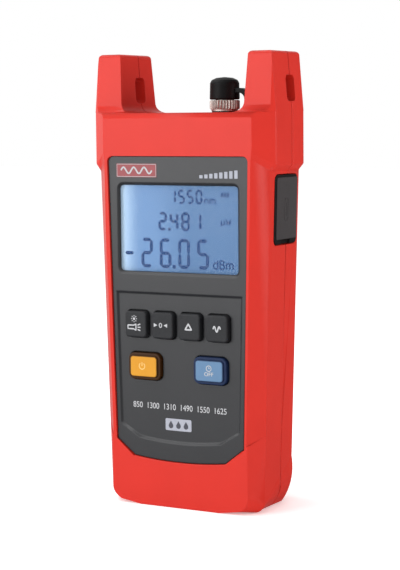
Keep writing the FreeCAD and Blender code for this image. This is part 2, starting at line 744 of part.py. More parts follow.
def port_body():
    """The threaded adaptor: shank through the deck, flange and barrel with the ferrule bore."""
    flange_z = DECK_Z + SEAL_THICK
    low_z = DECK_Z - PORT_SHANK_LONG
    top_z = DECK_Z + PORT_BARREL_TOP
    lead_in = PORT_BARREL_LEAD
    profile = [(PORT_BORE_R, low_z), (PORT_SHANK_R, low_z), (PORT_SHANK_R, flange_z),
               (PORT_FLANGE_R, flange_z), (PORT_FLANGE_R, RING_Z), (PORT_BARREL_R, RING_Z),
               (PORT_BARREL_R, top_z - lead_in), (PORT_BARREL_R - lead_in, top_z), (PORT_BORE_R, top_z)]
    body = turned(profile, PORT_X)
    key_slot = block(PORT_X - PORT_BARREL_R, PORT_X, -KEYWAY_WIDE / 2, KEYWAY_WIDE / 2,
                     top_z - KEYWAY_DEEP, top_z + KEYWAY_DEEP)
    return body.cut(key_slot)


def port_ring():
    """The knurled ring on the barrel."""
    inner = PORT_BARREL_R + PORT_FIT
    edge = KNURL_R
    profile = [(inner, RING_Z), (RING_R - edge, RING_Z), (RING_R, RING_Z + edge),
               (RING_R, RING_Z + RING_TALL - edge), (RING_R - edge, RING_Z + RING_TALL),
               (inner, RING_Z + RING_TALL)]
    ring = turned(profile, PORT_X)
    grooves = []
    for step in range(KNURL_COUNT):
        angle = 2 * math.pi * step / KNURL_COUNT
        x = PORT_X + RING_R * math.cos(angle)
        y = RING_R * math.sin(angle)
        across = FreeCAD.Rotation(V(0, 0, 1), math.degrees(angle))
        groove = Part.makeBox(2 * KNURL_R, 2 * KNURL_R, RING_TALL, V(-KNURL_R, -KNURL_R, 0))
        groove.rotate(V(0, 0, 0), V(0, 0, 1), 45)
        groove.Placement = FreeCAD.Placement(V(x, y, RING_Z), across).multiply(groove.Placement)
        grooves.append(groove)
    return ring.cut(grooves)


def port_nut():
    """The hexagon nut that clamps the port under the deck."""
    top_z = DECK_Z - WALL
    corner = NUT_FLATS / math.sqrt(3)
    points = [V(PORT_X + corner * math.cos(math.radians(60 * n)), corner * math.sin(math.radians(60 * n)),
                top_z - NUT_TALL) for n in range(6)]
    hexagon = extruded(polygon(points), V(0, 0, NUT_TALL))
    hole = Part.makeCylinder(PORT_SHANK_R + SCREW_FIT, NUT_TALL, V(PORT_X, 0, top_z - NUT_TALL))
    return hexagon.cut(hole)


def detector_holder():
    """The cup that holds the photodiode against the end of the shank."""
    top_z = DECK_Z - PORT_SHANK_LONG
    low_z = top_z - HOLDER_TALL
    pocket_z = top_z - DIODE_TALL - PORT_FIT
    profile = [(0, low_z), (HOLDER_R, low_z), (HOLDER_R, top_z), (DIODE_R + PORT_FIT, top_z),
               (DIODE_R + PORT_FIT, pocket_z), (0, pocket_z)]
    return turned(profile, PORT_X)


def photodiode():
    """The photodiode in its can, with a rim at its foot and a window at its top."""
    top_z = DECK_Z - PORT_SHANK_LONG - PORT_FIT
    low_z = top_z - DIODE_TALL + PORT_FIT
    rim_z = low_z + DIODE_RIM
    window_z = top_z - DIODE_WINDOW_DEEP
    profile = [(0, low_z), (DIODE_R, low_z), (DIODE_R, rim_z), (DIODE_CAN_R, rim_z), (DIODE_CAN_R, top_z),
               (DIODE_WINDOW_R, top_z), (DIODE_WINDOW_R, window_z), (0, window_z)]
    return turned(profile, PORT_X)


def ferrule_sleeve():
    """The ceramic sleeve in the adaptor's bore."""
    low_z = DECK_Z - PORT_SHANK_LONG + SLEEVE_LOW_RISE
    top_z = DECK_Z + PORT_BARREL_TOP - SLEEVE_TOP_DROP
    profile = [(SLEEVE_BORE_R, low_z), (SLEEVE_R, low_z), (SLEEVE_R, top_z), (SLEEVE_BORE_R, top_z)]
    return turned(profile, PORT_X)


def dust_cap():
    """The rubber cap: straight sides, a bevel and a low crown, hollow over the barrel."""
    bore = PORT_BARREL_R + CAP_FIT
    roof_z = DECK_Z + PORT_BARREL_TOP + CAP_ROOF
    side_z = CAP_Z + CAP_SIDE
    edge = CAP_R * 0.06
    profile = [(0, roof_z), (bore, roof_z), (bore, CAP_Z), (CAP_R - edge, CAP_Z), (CAP_R, CAP_Z + edge),
               (CAP_R - edge / 2, side_z), (CAP_R * 0.86, side_z + CAP_CROWN * 0.5),
               (CAP_R * 0.55, side_z + CAP_CROWN * 0.86), (0, side_z + CAP_CROWN)]
    return turned(profile, PORT_X)


def cap_tether():
    """The cap's strap: out from its side, round a bend and down to a plug in the deck."""
    start_x = PORT_X + CAP_R + STRAP_GAP
    end_x = start_x + STRAP_REACH
    top_z = CAP_Z + STRAP_RISE + STRAP_THICK
    low_z = top_z - STRAP_THICK
    outer_r = STRAP_BEND + STRAP_THICK
    bend = math.sqrt(0.5)
    y = -STRAP_WIDE / 2
    centre_x = end_x - outer_r
    centre_z = top_z - outer_r

    def at(x, z):
        return V(x, y, z)

    def arc(radius, first, last):
        middle = at(centre_x + radius * bend, centre_z + radius * bend)
        return Part.Arc(first, middle, last).toShape()
    edges = [Part.LineSegment(at(start_x, top_z), at(centre_x, top_z)).toShape(),
             arc(outer_r, at(centre_x, top_z), at(end_x, centre_z)),
             Part.LineSegment(at(end_x, centre_z), at(end_x, DECK_Z + STRAP_GAP)).toShape(),
             Part.LineSegment(at(end_x, DECK_Z + STRAP_GAP),
                              at(end_x - STRAP_THICK, DECK_Z + STRAP_GAP)).toShape(),
             Part.LineSegment(at(end_x - STRAP_THICK, DECK_Z + STRAP_GAP),
                              at(end_x - STRAP_THICK, centre_z)).toShape(),
             arc(STRAP_BEND, at(end_x - STRAP_THICK, centre_z), at(centre_x, low_z)),
             Part.LineSegment(at(centre_x, low_z), at(start_x, low_z)).toShape(),
             Part.LineSegment(at(start_x, low_z), at(start_x, top_z)).toShape()]
    strap = extruded(Part.Wire(edges), V(0, STRAP_WIDE, 0))
    plug = Part.makeCylinder(PLUG_R, PLUG_DEEP + STRAP_GAP, V(strap_plug_x(), 0, DECK_Z - PLUG_DEEP))
    return strap.fuse(plug)


def strap_plug_x():
    """Where the strap's plug goes into the deck."""
    return PORT_X + CAP_R + STRAP_GAP + STRAP_REACH - STRAP_THICK / 2


def torch_led():
    """The torch lamp: a collar under the deck and a domed lens in its hole."""
    top_z = DECK_Z - TORCH_SINK
    shoulder_z = top_z - TORCH_R
    low_z = top_z - TORCH_LONG
    collar_z = DECK_Z - WALL - TORCH_FIT
    bend = math.sqrt(0.5)
    collar_r = TORCH_R + TORCH_FIT * 5

    def at(r, z):
        return V(TORCH_X + r, 0, z)
    points = [at(0, low_z), at(collar_r, low_z), at(collar_r, collar_z), at(TORCH_R, collar_z),
              at(TORCH_R, shoulder_z)]
    tip = at(0, top_z)
    edges = [Part.LineSegment(a, b).toShape() for a, b in zip(points, points[1:])]
    edges.append(Part.Arc(points[-1], at(TORCH_R * bend, shoulder_z + TORCH_R * bend), tip).toShape())
    edges.append(Part.LineSegment(tip, points[0]).toShape())
    return Part.Face(Part.Wire(edges)).revolve(V(TORCH_X, 0, 0), V(0, 0, 1), 360)


def deck_holes():
    """Holes through the deck for the port's shank, the torch lamp and the strap's plug."""
    low = DECK_Z - 2 * WALL
    tall = 3 * WALL
    plug_z = DECK_Z - PLUG_DEEP - PORT_FIT
    return [Part.makeCylinder(PORT_SHANK_R + PORT_FIT, tall, V(PORT_X, 0, low)),
            Part.makeCylinder(TORCH_R + TORCH_FIT, tall, V(TORCH_X, 0, low)),
            Part.makeCylinder(PLUG_R + PORT_FIT, PLUG_DEEP + WALL, V(strap_plug_x(), 0, plug_z))]


# Rubber door on the right side, and the socket behind it

DOOR_TOP_Z = STEP_LOW_Z - DOOR_TOP_GAP
DOOR_Z = DOOR_TOP_Z - DOOR_TALL / 2


def side_half_at(z):
    """Half width of the grip at a height on its straight side."""
    low_z = BOW_RISE + foot_corner(DOOR_Y)
    return FOOT_HALF + (z - low_z) / (STEP_LOW_Z - low_z) * GRIP_TAPER


DOOR_BACK_X = side_half_at(DOOR_TOP_Z - DOOR_TALL) + DOOR_PROUD - DOOR_THICK
POCKET_X = DOOR_BACK_X - DOOR_FIT


def door_prism(grow, x_from, x_to):
    """A block of the door's outline between two places across the case."""
    wire = side_rect(DOOR_Y, DOOR_Z, DOOR_WIDE + 2 * grow, DOOR_TALL + 2 * grow, DOOR_ROUND + grow, x_from)
    return extruded(wire, V(x_to - x_from, 0, 0))


def port_door():
    """The door: its face follows the case's side, with a finger notch in its lower edge."""
    notch_z = DOOR_TOP_Z - DOOR_TALL
    y = DOOR_Y - DOOR_WIDE
    leaning = polygon([V(DOOR_BACK_X - WALL, y, notch_z - WALL),
                       V(side_half_at(notch_z - WALL) + DOOR_PROUD, y, notch_z - WALL),
                       V(side_half_at(DOOR_TOP_Z + WALL) + DOOR_PROUD, y, DOOR_TOP_Z + WALL),
                       V(DOOR_BACK_X - WALL, y, DOOR_TOP_Z + WALL)])
    door = door_prism(0, DOOR_BACK_X, HEAD_HALF + WALL).common(extruded(leaning, V(0, 2 * DOOR_WIDE, 0)))
    face_x = side_half_at(notch_z) + DOOR_PROUD
    notch = block(face_x - NOTCH_DEEP, face_x + WALL, DOOR_Y - NOTCH_WIDE / 2, DOOR_Y + NOTCH_WIDE / 2,
                  notch_z - WALL, notch_z + NOTCH_TALL)
    return door.cut(notch)


def door_boss():
    """Extra wall inside the case, behind the door's pocket."""
    return door_prism(DOOR_FIT + DOOR_BOSS_WALL, POCKET_X - DOOR_BOSS_WALL, side_half_at(DOOR_Z))


def socket_hole():
    """The hole through the pocket's floor that the socket looks out of."""
    wire = side_rect(DOOR_Y, DOOR_Z, SOCKET_THICK + 2 * SOCKET_FIT, SOCKET_WIDE + 2 * SOCKET_FIT,
                     SOCKET_SHELL, POCKET_X - DOOR_BOSS_WALL - WALL)
    return extruded(wire, V(DOOR_BOSS_WALL + 2 * WALL, 0, 0))


SOCKET_X = POCKET_X - SOCKET_LONG
SIDE_BOARD_X = POCKET_X - DOOR_BOSS_WALL - SOCKET_FIT - SIDE_BOARD_WIDE
SIDE_BOARD_Y = DOOR_Y + SOCKET_THICK / 2


def usb_socket():
    """The socket: a folded metal shell round a tongue."""
    outer = extruded(side_rect(DOOR_Y, DOOR_Z, SOCKET_THICK, SOCKET_WIDE, SOCKET_SHELL, SOCKET_X),
                     V(SOCKET_LONG, 0, 0))
    shell = 2 * SOCKET_SHELL
    mouth = extruded(side_rect(DOOR_Y, DOOR_Z, SOCKET_THICK - shell, SOCKET_WIDE - shell, shell / 4,
                               SOCKET_X + shell), V(SOCKET_LONG, 0, 0))
    tongue = block(SOCKET_X, POCKET_X - shell, DOOR_Y - SOCKET_SHELL, DOOR_Y + SOCKET_SHELL,
                   DOOR_Z - SOCKET_WIDE / 3, DOOR_Z + SOCKET_WIDE / 3)
    return outer.cut(mouth).fuse(tongue)


SIDE_POSTS = [(SIDE_BOARD_X + SIDE_POST_R, DOOR_Z - SIDE_BOARD_TALL / 2 + SIDE_POST_R),
              (SIDE_BOARD_X + SIDE_BOARD_WIDE - SIDE_POST_R, DOOR_Z + SIDE_BOARD_TALL / 2 - SIDE_POST_R)]


def side_board():
    """The small board behind the door that carries the socket."""
    return extruded(front_rect(SIDE_BOARD_X + SIDE_BOARD_WIDE / 2, DOOR_Z, SIDE_BOARD_WIDE, SIDE_BOARD_TALL,
                               BOARD_ROUND, SIDE_BOARD_Y), V(0, SIDE_BOARD_THICK, 0))


def board_link():
    """The header between the main board and the side board: a strip with pins at its ends."""
    x = SIDE_BOARD_X + LINK_THICK
    pin = LINK_THICK / 4
    start_y = BOARD_Y + BOARD_THICK
    strip = block(x, x + LINK_THICK, start_y, start_y + LINK_THICK,
                  DOOR_Z - LINK_TALL / 2, DOOR_Z + LINK_TALL / 2)
    count = int(LINK_TALL // LINK_THICK)
    pins = []
    for n in range(count):
        z = DOOR_Z - LINK_TALL / 2 + (n + 0.5) * LINK_TALL / count
        pins.append(block(x + pin, x + 3 * pin, start_y + LINK_THICK, SIDE_BOARD_Y, z - pin, z + pin))
    return strip.fuse(pins)


# Battery compartment at the back

TRAY_HALF = 3 * CELL_R + CELL_GAP + TRAY_SIDE_GAP
CELL_Z = TRAY_RISE + CELL_LOW
TRAY_TOP_Z = CELL_Z + CELL_LONG + CELL_HIGH
CELLS = [n * (2 * CELL_R + CELL_GAP) for n in (-1, 0, 1)]
COVER_LOW_Z = TRAY_RISE - COVER_LAP
COVER_TOP_Z = TRAY_TOP_Z + COVER_TOP_LAP
COVER_HALF = TRAY_HALF + COVER_LAP
COVER_Y = REAR_DEPTH - COVER_THICK
CELL_Y = COVER_Y - CELL_COVER_GAP - CELL_R
TRAY_FLOOR_Y = CELL_Y - CELL_R - CELL_GAP
COVER_SCREW_Z = TRAY_TOP_Z + COVER_TOP_LAP / 2


def back_rect(half, low_z, high_z, round_r, y):
    """A rounded rectangle on the back of the case."""
    return front_rect(0, (low_z + high_z) / 2, 2 * half, high_z - low_z, round_r, y)


def tray_walls():
    """The walls of the battery compartment, which stand on the rear wall."""
    half = TRAY_HALF + TRAY_WALL
    return block(-half, half, TRAY_FLOOR_Y - TRAY_WALL, REAR_DEPTH - REAR_WALL,
                 TRAY_RISE - TRAY_WALL, TRAY_TOP_Z + TRAY_WALL)


def tray_space():
    """The room for the cells, open at the back, with the cover's rebate."""
    room = block(-TRAY_HALF, TRAY_HALF, TRAY_FLOOR_Y, REAR_DEPTH + WALL, TRAY_RISE, TRAY_TOP_Z)
    rebate_y = COVER_Y - COVER_SEAL
    rebate = extruded(back_rect(COVER_HALF, COVER_LOW_Z, COVER_TOP_Z, COVER_ROUND, rebate_y),
                      V(0, REAR_DEPTH + WALL - rebate_y, 0))
    return room.fuse([rebate] + tongues(COVER_FIT))


def tongues(grow):
    """The two tongues under the cover's lower edge, or the slots for them."""
    shapes = []
    for side in (-1, 1):
        x = side * TONGUE_X
        half = TONGUE_WIDE / 2 + grow
        shapes.append(block(x - half, x + half, COVER_Y - grow, COVER_Y + TONGUE_THICK + grow,
                            COVER_LOW_Z - TONGUE_LONG - grow, COVER_LOW_Z + COVER_LAP))
    return shapes


def battery_cover():
    """The cover: a plate in the rebate, tongues below, two screw holes above and grip ribs."""
    plate = extruded(back_rect(COVER_HALF - COVER_FIT, COVER_LOW_Z + COVER_FIT, COVER_TOP_Z - COVER_FIT,
                               COVER_ROUND - COVER_FIT, COVER_Y), V(0, COVER_THICK, 0))
    plate = plate.fuse(tongues(0))
    cuts = []
    seat_y = REAR_DEPTH - COVER_SCREW_HEAD
    for side in (-1, 1):
        x = side * COVER_SCREW_X
        cuts.append(rod(x, COVER_SCREW_Z, COVER_SCREW_R + SCREW_FIT, COVER_Y, REAR_DEPTH))
        cuts.append(rod(x, COVER_SCREW_Z, COVER_SCREW_HEAD_R + COVER_FIT, seat_y, REAR_DEPTH))
    for n in range(GRIP_GROOVES):
        z = COVER_LOW_Z + GRIP_GROOVE_RISE + n * GRIP_GROOVE_PITCH
        start = V(-GRIP_GROOVE_LONG / 2, REAR_DEPTH + GRIP_GROOVE_R - GRIP_GROOVE_DEEP, z)
        cuts.append(Part.makeCylinder(GRIP_GROOVE_R, GRIP_GROOVE_LONG, start, V(1, 0, 0)))
    return plate.cut(cuts)


def cover_seal():
    """The flat seal under the cover's edge."""
    y = COVER_Y - COVER_SEAL
    outer = back_rect(COVER_HALF - COVER_FIT, COVER_LOW_Z + COVER_FIT, COVER_TOP_Z - COVER_FIT,
                      COVER_ROUND - COVER_FIT, y)
    sheet = extruded(outer, V(0, COVER_SEAL, 0))
    room = block(-TRAY_HALF, TRAY_HALF, y, COVER_Y, TRAY_RISE, TRAY_TOP_Z)
    holes = [rod(side * COVER_SCREW_X, COVER_SCREW_Z, COVER_SCREW_R + COVER_FIT, y, COVER_Y)
             for side in (-1, 1)]
    return sheet.cut([room] + holes)


def cover_posts():
    """Posts inside the rear wall for the cover's screws."""
    return [rod(side * COVER_SCREW_X, COVER_SCREW_Z, COVER_POST_R, COVER_Y - COVER_SCREW_LONG,
                REAR_DEPTH - REAR_WALL) for side in (-1, 1)]


def cover_screws():
    """The two screws of the battery cover."""
    seat = REAR_DEPTH - COVER_SCREW_HEAD
    return [screw(side * COVER_SCREW_X, COVER_SCREW_Z, COVER_SCREW_R, COVER_SCREW_HEAD_R, COVER_SCREW_HEAD,
                  seat, seat - COVER_SCREW_LONG) for side in (-1, 1)]


def cover_screw_holes():
    """Pilot holes for the cover's screws."""
    return [rod(side * COVER_SCREW_X, COVER_SCREW_Z, COVER_SCREW_R + SCREW_FIT,
                COVER_Y - COVER_SCREW_LONG, REAR_DEPTH) for side in (-1, 1)]


def battery_cell(x):
    """One round cell with its nub upwards, or downwards in the middle of the row."""
    upright = x != 0
    low, high = CELL_Z, CELL_Z + CELL_LONG
    body_low, body_high = (low, high - CELL_NUB) if upright else (low + CELL_NUB, high)
    edge = CELL_GAP
    profile = [(0, body_low), (CELL_R - edge, body_low), (CELL_R, body_low + edge),
               (CELL_R, body_high - edge), (CELL_R - edge, body_high), (0, body_high)]
    nub_z = body_high if upright else low
    nub = Part.makeCylinder(CELL_NUB_R, CELL_NUB, V(x, CELL_Y, nub_z))
    return turned(profile, x, CELL_Y).fuse(nub)


def contact_leaf(x, wall_z, cell_z):
    """A folded leaf spring between the compartment's end wall and a cell."""
    up = 1 if cell_z > wall_z else -1
    reach = abs(cell_z - wall_z) - CELL_GAP / 4
    t = LEAF_THICK
    depth = CELL_R
    outline = [(-depth, 0), (depth, 0), (depth, t), (-depth / 2, t), (depth / 3, reach - t),
               (depth / 2, reach - t), (depth / 2, reach), (depth / 3 - t / 2, reach), (-depth + t, t),
               (-depth, t)]
    points = [V(x - LEAF_WIDE / 2, CELL_Y + a, wall_z + up * b) for a, b in outline]
    return extruded(polygon(points), V(LEAF_WIDE, 0, 0))


def contact_leaves():
    """One leaf spring at the flat end of each cell."""
    leaves = []
    for x in CELLS:
        low_end = x != 0
        wall_z = TRAY_RISE if low_end else TRAY_TOP_Z
        cell_z = CELL_Z if low_end else CELL_Z + CELL_LONG
        leaves.append(contact_leaf(x, wall_z, cell_z))
    return Part.makeCompound(leaves)


def contact_plates():
    """One plate, with a raised button that reaches the nub, at the other end of each cell."""
    plates = []
    half = LEAF_WIDE / 2
    for x in CELLS:
        top_end = x != 0
        plate_z = TRAY_TOP_Z - LEAF_THICK if top_end else TRAY_RISE
        nub_z = CELL_Z + CELL_LONG + CELL_GAP / 4 if top_end else CELL_Z - CELL_GAP / 4
        low, high = (nub_z, plate_z) if top_end else (plate_z, nub_z)
        plate = block(x - half, x + half, CELL_Y - CELL_R, CELL_Y + CELL_R, plate_z, plate_z + LEAF_THICK)
        button = Part.makeCylinder(CELL_NUB_R, high - low, V(x, CELL_Y, low))
        plates.append(plate.fuse(button).removeSplitter())
    return Part.makeCompound(plates)


# Screws between the halves, and the sealing cord

CASE_SCREW_TOP_Z = DECK_Z - CASE_SCREW_TOP_DROP
CASE_SCREWS = [(side * x, z) for side in (-1, 1)
               for x, z in ((CASE_SCREW_TOP_X, CASE_SCREW_TOP_Z), (CASE_SCREW_LOW_X, CASE_SCREW_LOW_Z))]


def shell_screws():
    """The four long screws that hold the halves together."""
    return Part.makeCompound([screw(x, z, CASE_SCREW_R, CASE_SCREW_HEAD_R, CASE_SCREW_HEAD, CASE_SCREW_SEAT_Y,
                                    -CASE_SCREW_GRIP) for x, z in CASE_SCREWS])


def case_bosses(y_from, y_to):
    """Screw bosses between two depths."""
    return [rod(x, z, CASE_BOSS_R, y_from, y_to) for x, z in CASE_SCREWS]


def case_screw_holes():
    """Pilot holes and counterbores for the case's screws."""
    holes = []
    for x, z in CASE_SCREWS:
        holes.append(rod(x, z, CASE_SCREW_R + SCREW_FIT, -CASE_SCREW_GRIP - CASE_SCREW_R, CASE_SCREW_SEAT_Y))
        holes.append(rod(x, z, CASE_SCREW_HEAD_R + COUNTERBORE_FIT, CASE_SCREW_SEAT_Y, REAR_DEPTH + WALL))
    return holes


def seal_cord(fit):
    """The sealing cord's loop in the wall, between the faces of the two halves."""
    half = CORD_SQUARE / 2 + fit
    outer_top = DECK_Z - CORD_INSET + fit
    inner_top = DECK_Z - CORD_INSET - CORD_SQUARE - fit

    def slab(inset, top_z):
        return layered([side_layer(-half, inset, top_z), side_layer(half, inset, top_z)])
    return slab(CORD_INSET - fit, outer_top).cut(slab(CORD_INSET + CORD_SQUARE + fit, inner_top))


def cord_breaks():
    """Where the cord stops short: at the door's pocket and at the holes in the deck."""
    gap = 2 * CORD_SQUARE
    breaks = [door_prism(DOOR_FIT + CORD_FIT, POCKET_X - WALL, HEAD_HALF + WALL)]
    for x, r in ((PORT_X, PORT_SHANK_R), (TORCH_X, TORCH_R), (strap_plug_x(), PLUG_R)):
        breaks.append(Part.makeCylinder(r + gap / 2, 4 * gap, V(x, 0, DECK_Z - 3 * gap)))
    return breaks


def half_space(y_from, y_to):
    """A block that holds all of the case between two depths."""
    side = HEAD_HALF + WALL
    return block(-side, side, y_from, y_to, -WALL, CASE_TOP_Z + WALL)


def seam_groove():
    """The groove round the outside of the case where the two halves meet."""
    half = SEAM_WIDE / 2
    top_z = CASE_TOP_Z - SEAM_DEEP
    core = layered([side_layer(-half, SEAM_DEEP, top_z), side_layer(half, SEAM_DEEP, top_z)])
    core = core.cut([valley_cut(SEAM_DEEP), both_sides(strap_slot(SEAM_DEEP))])
    return half_space(-half, half).cut(core)


def shells():
    """The two halves of the case, with their posts, bosses, pockets and holes."""
    outer = outer_case()
    hollow = cavity()
    walls = outer.cut(hollow).fuse(door_boss().common(outer))
    fore = walls.common(half_space(FRONT_Y - WALL, 0)).cut(panel_pocket())
    posts = [rod(x, z, POST_R, LEDGE_BACK_Y, BOARD_Y) for x, z in POSTS]
    fore = fore.fuse(posts + case_bosses(LEDGE_BACK_Y, 0))
    post_holes = [rod(x, z, BOARD_SCREW_R + SCREW_FIT, BOARD_Y - BOARD_SCREW_GRIP - BOARD_SCREW_R, BOARD_Y)
                  for x, z in POSTS]
    side_posts = [rod(x, z, SIDE_POST_R, SIDE_BOARD_Y + SIDE_BOARD_THICK, REAR_DEPTH - REAR_WALL)
                  for x, z in SIDE_POSTS]
    aft = walls.common(half_space(0, REAR_DEPTH + WALL))
    aft = aft.fuse([tray_walls()] + cover_posts() + side_posts + case_bosses(0, REAR_DEPTH - REAR_WALL))
    aft = aft.common(case_form(FOOT_PROUD))
    shared = [door_prism(DOOR_FIT, POCKET_X, HEAD_HALF + WALL), socket_hole(), seal_cord(CORD_FIT)]
    shared += [seam_groove()] + deck_holes() + case_screw_holes()
    fore = fore.cut(shared + post_holes)
    aft = aft.cut(shared + [tray_space()] + cover_screw_holes())
    return fore, aft


def main():
    """Build every piece and write it to its own file."""
    os.makedirs("parts", exist_ok=True)
    front_shell, rear_shell = shells()
    export("front_shell", front_shell)
    export("rear_shell", rear_shell)
    export("shell_gasket", seal_cord(0).cut(cord_breaks()))
    export("front_panel", front_panel())
    window_y = PANEL_BACK_Y - WINDOW_THICK
    export("display_window", extruded(display_rect(WINDOW_LAP, window_y), V(0, WINDOW_THICK, 0)))
    export("lcd_module", lcd_sheet(0, LCD_Y, LCD_THICK))
    export("backlight", lcd_sheet(LCD_LAP / 2, LCD_Y + LCD_THICK, BOARD_Y - LCD_Y - LCD_THICK))
    for name, x, z, wide, tall, skirt in KEYS:
        export(name, key(x, z, wide, tall, skirt))
    export("keypad_mat", keypad_mat())
    export("switch_domes", switch_domes())
    export("main_board", main_board())
    export("board_screws", board_screws())
    export("port_body", port_body())
    seal = turned([(PORT_SHANK_R + PORT_FIT, DECK_Z), (SEAL_R, DECK_Z), (SEAL_R, DECK_Z + SEAL_THICK),
                   (PORT_SHANK_R + PORT_FIT, DECK_Z + SEAL_THICK)], PORT_X)
    export("port_seal", seal)
    export("port_ring", port_ring())
    export("port_nut", port_nut())
    export("ferrule_sleeve", ferrule_sleeve())
    export("detector_holder", detector_holder())
    export("photodiode", photodiode())
    export("dust_cap", dust_cap())
    export("cap_tether", cap_tether())
    export("torch_led", torch_led())
    export("port_door", port_door())
    export("usb_socket", usb_socket())
    export("side_board", side_board())
    export("board_link", board_link())
    for n, x in enumerate(CELLS, start=1):
        export("battery_cell_" + str(n), battery_cell(x))
    export("contact_leaves", contact_leaves())
    export("contact_plates", contact_plates())
    export("battery_cover", battery_cover())
    export("cover_seal", cover_seal())
    export("cover_screws", Part.makeCompound(cover_screws()))
    export("shell_screws", shell_screws())


main()
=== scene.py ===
"""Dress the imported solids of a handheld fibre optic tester.

The case is red moulded plastic round a dark panel with a lit display and six keys. A knurled port
under a rubber cap stands on the deck between two strap horns. Lengths are millimetres unless a name
says otherwise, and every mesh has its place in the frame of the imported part.
"""

import logging
import math
from dataclasses import dataclass
from enum import Enum
from typing import Iterable, Sequence

import bmesh
import bpy
from mathutils import Matrix, Vector


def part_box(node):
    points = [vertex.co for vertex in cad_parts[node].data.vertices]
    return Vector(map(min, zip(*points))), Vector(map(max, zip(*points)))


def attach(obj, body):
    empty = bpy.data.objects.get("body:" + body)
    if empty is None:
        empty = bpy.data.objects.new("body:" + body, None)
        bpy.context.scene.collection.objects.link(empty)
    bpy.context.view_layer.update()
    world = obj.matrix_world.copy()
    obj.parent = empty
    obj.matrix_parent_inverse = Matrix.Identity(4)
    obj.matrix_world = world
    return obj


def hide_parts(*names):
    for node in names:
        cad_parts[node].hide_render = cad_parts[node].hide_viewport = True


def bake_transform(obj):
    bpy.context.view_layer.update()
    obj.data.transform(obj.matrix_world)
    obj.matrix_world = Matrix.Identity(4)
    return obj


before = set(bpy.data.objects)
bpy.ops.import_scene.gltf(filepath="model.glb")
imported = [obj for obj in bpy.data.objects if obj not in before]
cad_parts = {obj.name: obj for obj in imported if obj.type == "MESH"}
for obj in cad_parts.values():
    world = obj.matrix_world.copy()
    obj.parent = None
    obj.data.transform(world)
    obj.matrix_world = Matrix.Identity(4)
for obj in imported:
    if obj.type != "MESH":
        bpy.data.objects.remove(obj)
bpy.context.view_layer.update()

MM = 0.001
# Points closer than this are one point, and edges that turn more than this stay sharp
SAME_PLACE = 0.001
SHARP_DEG = 32.0
# The span that a noise pattern mostly fills
NOISE_LOW = 0.3
NOISE_HIGH = 0.7
# The colour output of a Mix node
MIXED_COLOUR = 2
CASE_BODY = "case"
Point = tuple[float, float]
log = logging.getLogger("tester")


# Finishes


def linear(hex_colour: str) -> tuple[float, float, float, float]:
    """Turn an sRGB colour into a linear one.

    Args:
        hex_colour: Six hex digits.

    Returns:
        Red, green, blue and alpha.
    """
    shares = [int(hex_colour[n:n + 2], 16) / 255 for n in (0, 2, 4)]
    straight = [s / 12.92 if s <= 0.04045 else ((s + 0.055) / 1.055) ** 2.4 for s in shares]
    return (*straight, 1.0)


def per_metre(size_mm: float) -> float:
    """The texture scale that makes a pattern repeat about every size_mm."""
    return 1 / (size_mm * MM)


def add(tree: bpy.types.NodeTree, kind: str, inputs: dict | None = None,
        **settings: object) -> bpy.types.Node:
    """Add a node with its settings, and set or link its inputs.

    Args:
        tree: The node tree that gets the node.
        kind: Blender's name for the node type.
        inputs: For each input, by name or number, a constant or the socket that feeds it.
        settings: Attributes of the node itself.

    Returns:
        The new node.
    """
    node = tree.nodes.new(kind)
    for name, value in settings.items():
        setattr(node, name, value)
    for key, value in (inputs or {}).items():
        if isinstance(value, bpy.types.NodeSocket):
            tree.links.new(value, node.inputs[key])
        else:
            node.inputs[key].default_value = value
    return node


